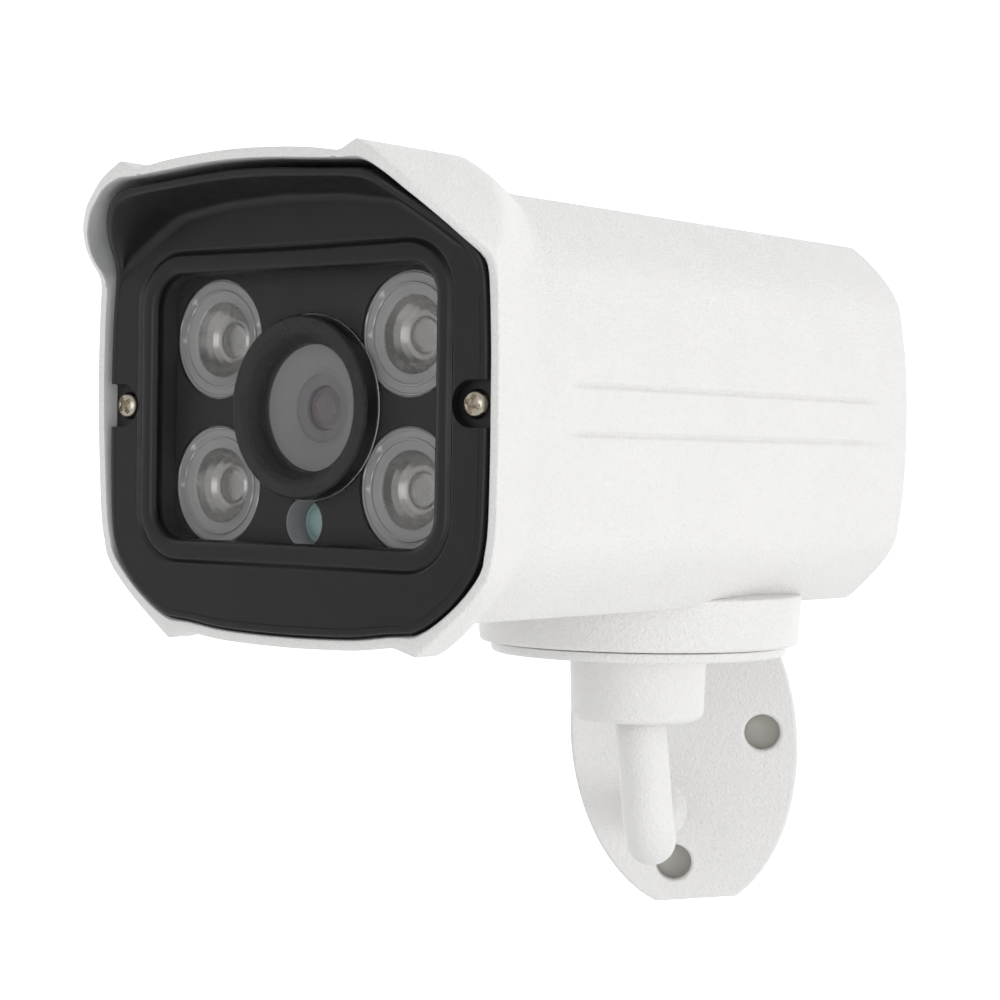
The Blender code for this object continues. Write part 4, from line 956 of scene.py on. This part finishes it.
def make_bracket():
    """Oval plate, bent rod and the flare where the rod meets the plate."""
    centre = (PLATE_CENTRE[0], ARM_REACH + PLATE_THICK / 2, PLATE_CENTRE[1])
    holes = [circle(PLATE_HOLE_R, place, 56) for place in PLATE_HOLES]
    plate = rounded_plate("bracket_plate", plate_outline(), holes, PLATE_THICK, PLATE_EDGE,
                          BRACKET @ Matrix.Translation(centre), "wall_mount", ("wall_bracket",))
    paint(plate, WHITE)
    path = [(0, 0, z) for z in (-7.1, -9, -12, -16, -ARM_DROP + ELBOW)]
    for step in range(1, 17):
        a = math.radians(90) * step / 16
        path.append((0, ELBOW - ELBOW * math.cos(a), -ARM_DROP + ELBOW - ELBOW * math.sin(a)))
    path += [(0, y, -ARM_DROP) for y in (20, 32, ARM_REACH - 3, ARM_REACH + 1)]
    arm = to_object("bracket_arm", *tube(path, ROD_R, 56), BRACKET, "wall_mount", sharp=50)
    bore = [(STUD_BORE_R * math.cos(a), STUD_BORE_R * math.sin(a))
            for a in np.linspace(0, 2 * math.pi, 33)[:-1]]
    cut(arm, *prism(bore, -15.3, -5, axis="Z"), BRACKET)
    paint(arm, WHITE)
    foot = [(ROD_R + 0.02, ARM_REACH - 2.6), (ROD_R + 0.25, ARM_REACH - 1.3), (ROD_R + 0.9, ARM_REACH - 0.4),
            (ROD_R + 2.1, ARM_REACH + 0.05), (ROD_R + 2.1, ARM_REACH + 0.6), (ROD_R - 1.0, ARM_REACH + 0.6),
            (ROD_R - 1.0, ARM_REACH - 2.6)]
    root = lathe("bracket_arm_root", foot, BRACKET @ Matrix.Translation((0, 0, -ARM_DROP)), "wall_mount",
                 steps=64)
    paint(root, WHITE)


# ---------------------------------------------------------------- back

def make_back():
    """Rear cover with its cable gland and four screws."""
    control = inset(whole(BODY_HALF), 2.45)
    outline = soften(spline(control, STOPS), 0.8 / SAMPLE)[::3]
    front, back = REAR_LEDGE + 0.8, REAR_LEDGE + 3.0
    holes = [circle(GLAND_HOLE_R, steps=64)] + [circle(REAR_HOLE_R, place, 32) for place in REAR_SCREWS]
    cover = rounded_plate("rear_plate", [tuple(p) for p in outline], holes, back - front, 0.3,
                          CAMERA @ Matrix.Translation((0, (front + back) / 2, 0)), "camera", ("rear_cover",))
    paint(cover, WHITE)
    gland = [(2.9, front - 1.8), (2.9, back + 7.0), (4.3, back + 7.0), (4.75, back + 5.6), (4.55, back + 5.3),
             (5.2, back + 4.0), (5.0, back + 3.7), (5.75, back + 2.3), (6.3, back + 1.6), (7.6, back + 1.4),
             (7.6, back + 0.1), (4.9, back + 0.1), (4.9, front - 0.1), (6.4, front - 0.1), (6.2, front - 1.8)]
    radii = [0.1, 0.4, 0.4, 0.1, 0.1, 0.1, 0.1, 0.1, 0.3, 0.4, 0.1, 0, 0, 0.2, 0.2]
    grommet = lathe("cable_grommet", fillet(gland, radii, 4), CAMERA, "camera", ("cable_gland",),
                    steps=96, sharp=50)
    paint(grommet, RUBBER)
    for index, (x, z) in enumerate(REAR_SCREWS):
        head = [(0, 1.25), (0.9, 1.2), (1.55, 1.0), (2.0, 0.65), (2.2, 0.25), (2.2, 0.06), (2.12, 0),
                (0.95, 0), (0.95, -7), (0, -7)]
        place = CAMERA @ Matrix.Translation((x, back + 0.05, z))
        screw = lathe(f"rear_screw_{index + 1}_head", head, place, "camera", (f"rear_screw_{index + 1}",),
                      steps=48, closed=False)
        slot = [(-1.25, -0.3), (1.25, -0.3), (1.25, 0.3), (-1.25, 0.3)]
        cut_cross(screw, slot, 0.6, 3, place, 40 * index)
        paint(screw, NICKEL)


# ---------------------------------------------------------------- CAD nodes that stay

def finish_kept_nodes():
    """Procedural finish on every CAD node that no piece replaces."""
    looks = {"front_window": PANE, "mask_plate": MASK, "wall_pad": PAD,
             "front_gasket": SMOOTH_RUBBER, "window_gasket": SMOOTH_RUBBER, "rear_gasket": SMOOTH_RUBBER,
             "flange_seal": SMOOTH_RUBBER, "lens_lock_nut": BRASS, "lens_holder": MOULDED,
             "ir_filter_slide": MOULDED, "ir_filter_glass": FILTER, "ir_cut_coil": COIL, "image_sensor": CHIP,
             "led_board": BOARD_WHITE, "sensor_board": BOARD_GREEN, "main_board": BOARD_GREEN,
             "ball_stud": STEEL, "ball_ring_upper": NYLON, "ball_ring_lower": NYLON}
    families = {"led_emitter": EMITTER, "board_screw": NICKEL, "standoff": BRASS}
    for name, node in NODES.items():
        for family, material in families.items():
            if name.startswith(family):
                looks[name] = material
        if name in looks:
            paint(node, looks[name])


# ---------------------------------------------------------------- stage, light and view

def stage_sheet(name, side_view, material):
    """Wide sheet through a line of (y, z) points, outside the object."""
    half_width = 9.0
    vertices = [(x, y, z) for x in (-half_width, half_width) for y, z in side_view]
    count = len(side_view)
    mesh = bpy.data.meshes.new(name)
    mesh.from_pydata(vertices, [], [(i, i + 1, count + i + 1, count + i) for i in range(count - 1)])
    sheet = bpy.data.objects.new(name, mesh)
    bpy.context.scene.collection.objects.link(sheet)
    paint(sheet, material)


def make_stage():
    """Pale floor well below the camera, and a luminous backdrop behind the wall side."""
    low = cad_box[0][2] - 0.6
    stage_sheet("floor", [(-9.0, low), (1.8, low)],
                coat("pale_floor", (0.80, 0.80, 0.80), 0.9, vary=0.004, bump=0.01, grain=((20, 0.5),)))
    stage_sheet("backdrop", [(1.8, low), (1.8, 5.0)],
                coat("lit_backdrop", (0.80, 0.80, 0.80), 0.9, vary=0.004, bump=0.01, grain=((20, 0.5),),
                     Emission_Color=(1, 1, 1, 1), Emission_Strength=0.8))

    world = bpy.data.worlds.new("studio")
    world.use_nodes = True
    world.node_tree.nodes["Background"].inputs["Color"].default_value = (1, 1, 1, 1)
    world.node_tree.nodes["Background"].inputs["Strength"].default_value = 0.62
    bpy.context.scene.world = world
    middle = (Vector(cad_box[0]) + Vector(cad_box[1])) / 2
    softbox("key", middle, Vector((-1.00, -0.75, 0.55)), 0.7, 0.25)
    softbox("side", middle, Vector((1.25, -0.70, -0.10)), 0.8, 7.3)
    softbox("front", middle, Vector((-0.35, -1.25, 0.05)), 0.8, 3.0)


def softbox(name, target, offset, size, power):
    """Square area light that faces its target."""
    lamp = bpy.data.lights.new(name, "AREA")
    lamp.shape = "SQUARE"
    lamp.size = size
    lamp.energy = power
    piece = bpy.data.objects.new(name, lamp)
    bpy.context.scene.collection.objects.link(piece)
    piece.location = target + offset
    piece.rotation_euler = (-offset).to_track_quat("-Z", "Y").to_euler()


def make_view():
    """Camera at the calibrated viewpoint."""
    lens = bpy.data.cameras.new("view")
    lens.lens = FOCAL_LENGTH
    lens.sensor_width = 36.0
    lens.clip_start = 0.01
    lens.clip_end = 100.0
    view = bpy.data.objects.new("view", lens)
    bpy.context.scene.collection.objects.link(view)
    local = (Matrix.Rotation(VIEW_TURN, 3, "Z") @ Matrix.Rotation(math.radians(90) + VIEW_PITCH, 3, "X")
             @ Matrix.Rotation(VIEW_ROLL, 3, "Z"))
    facing = Matrix((CAM_X, CAM_Y, Vector((0, 0, 1)))).transposed() @ local
    view.matrix_world = Matrix.Translation(CAMERA @ VIEW_FROM) @ facing.to_4x4()
    bpy.context.scene.camera = view


make_housing()
make_bezel()
make_lamps()
make_shroud()
make_lens()
make_light_sensor()
make_flange()
make_bracket()
make_back()
finish_kept_nodes()
make_stage()
make_view()
bpy.context.scene.view_settings.view_transform = "Standard"
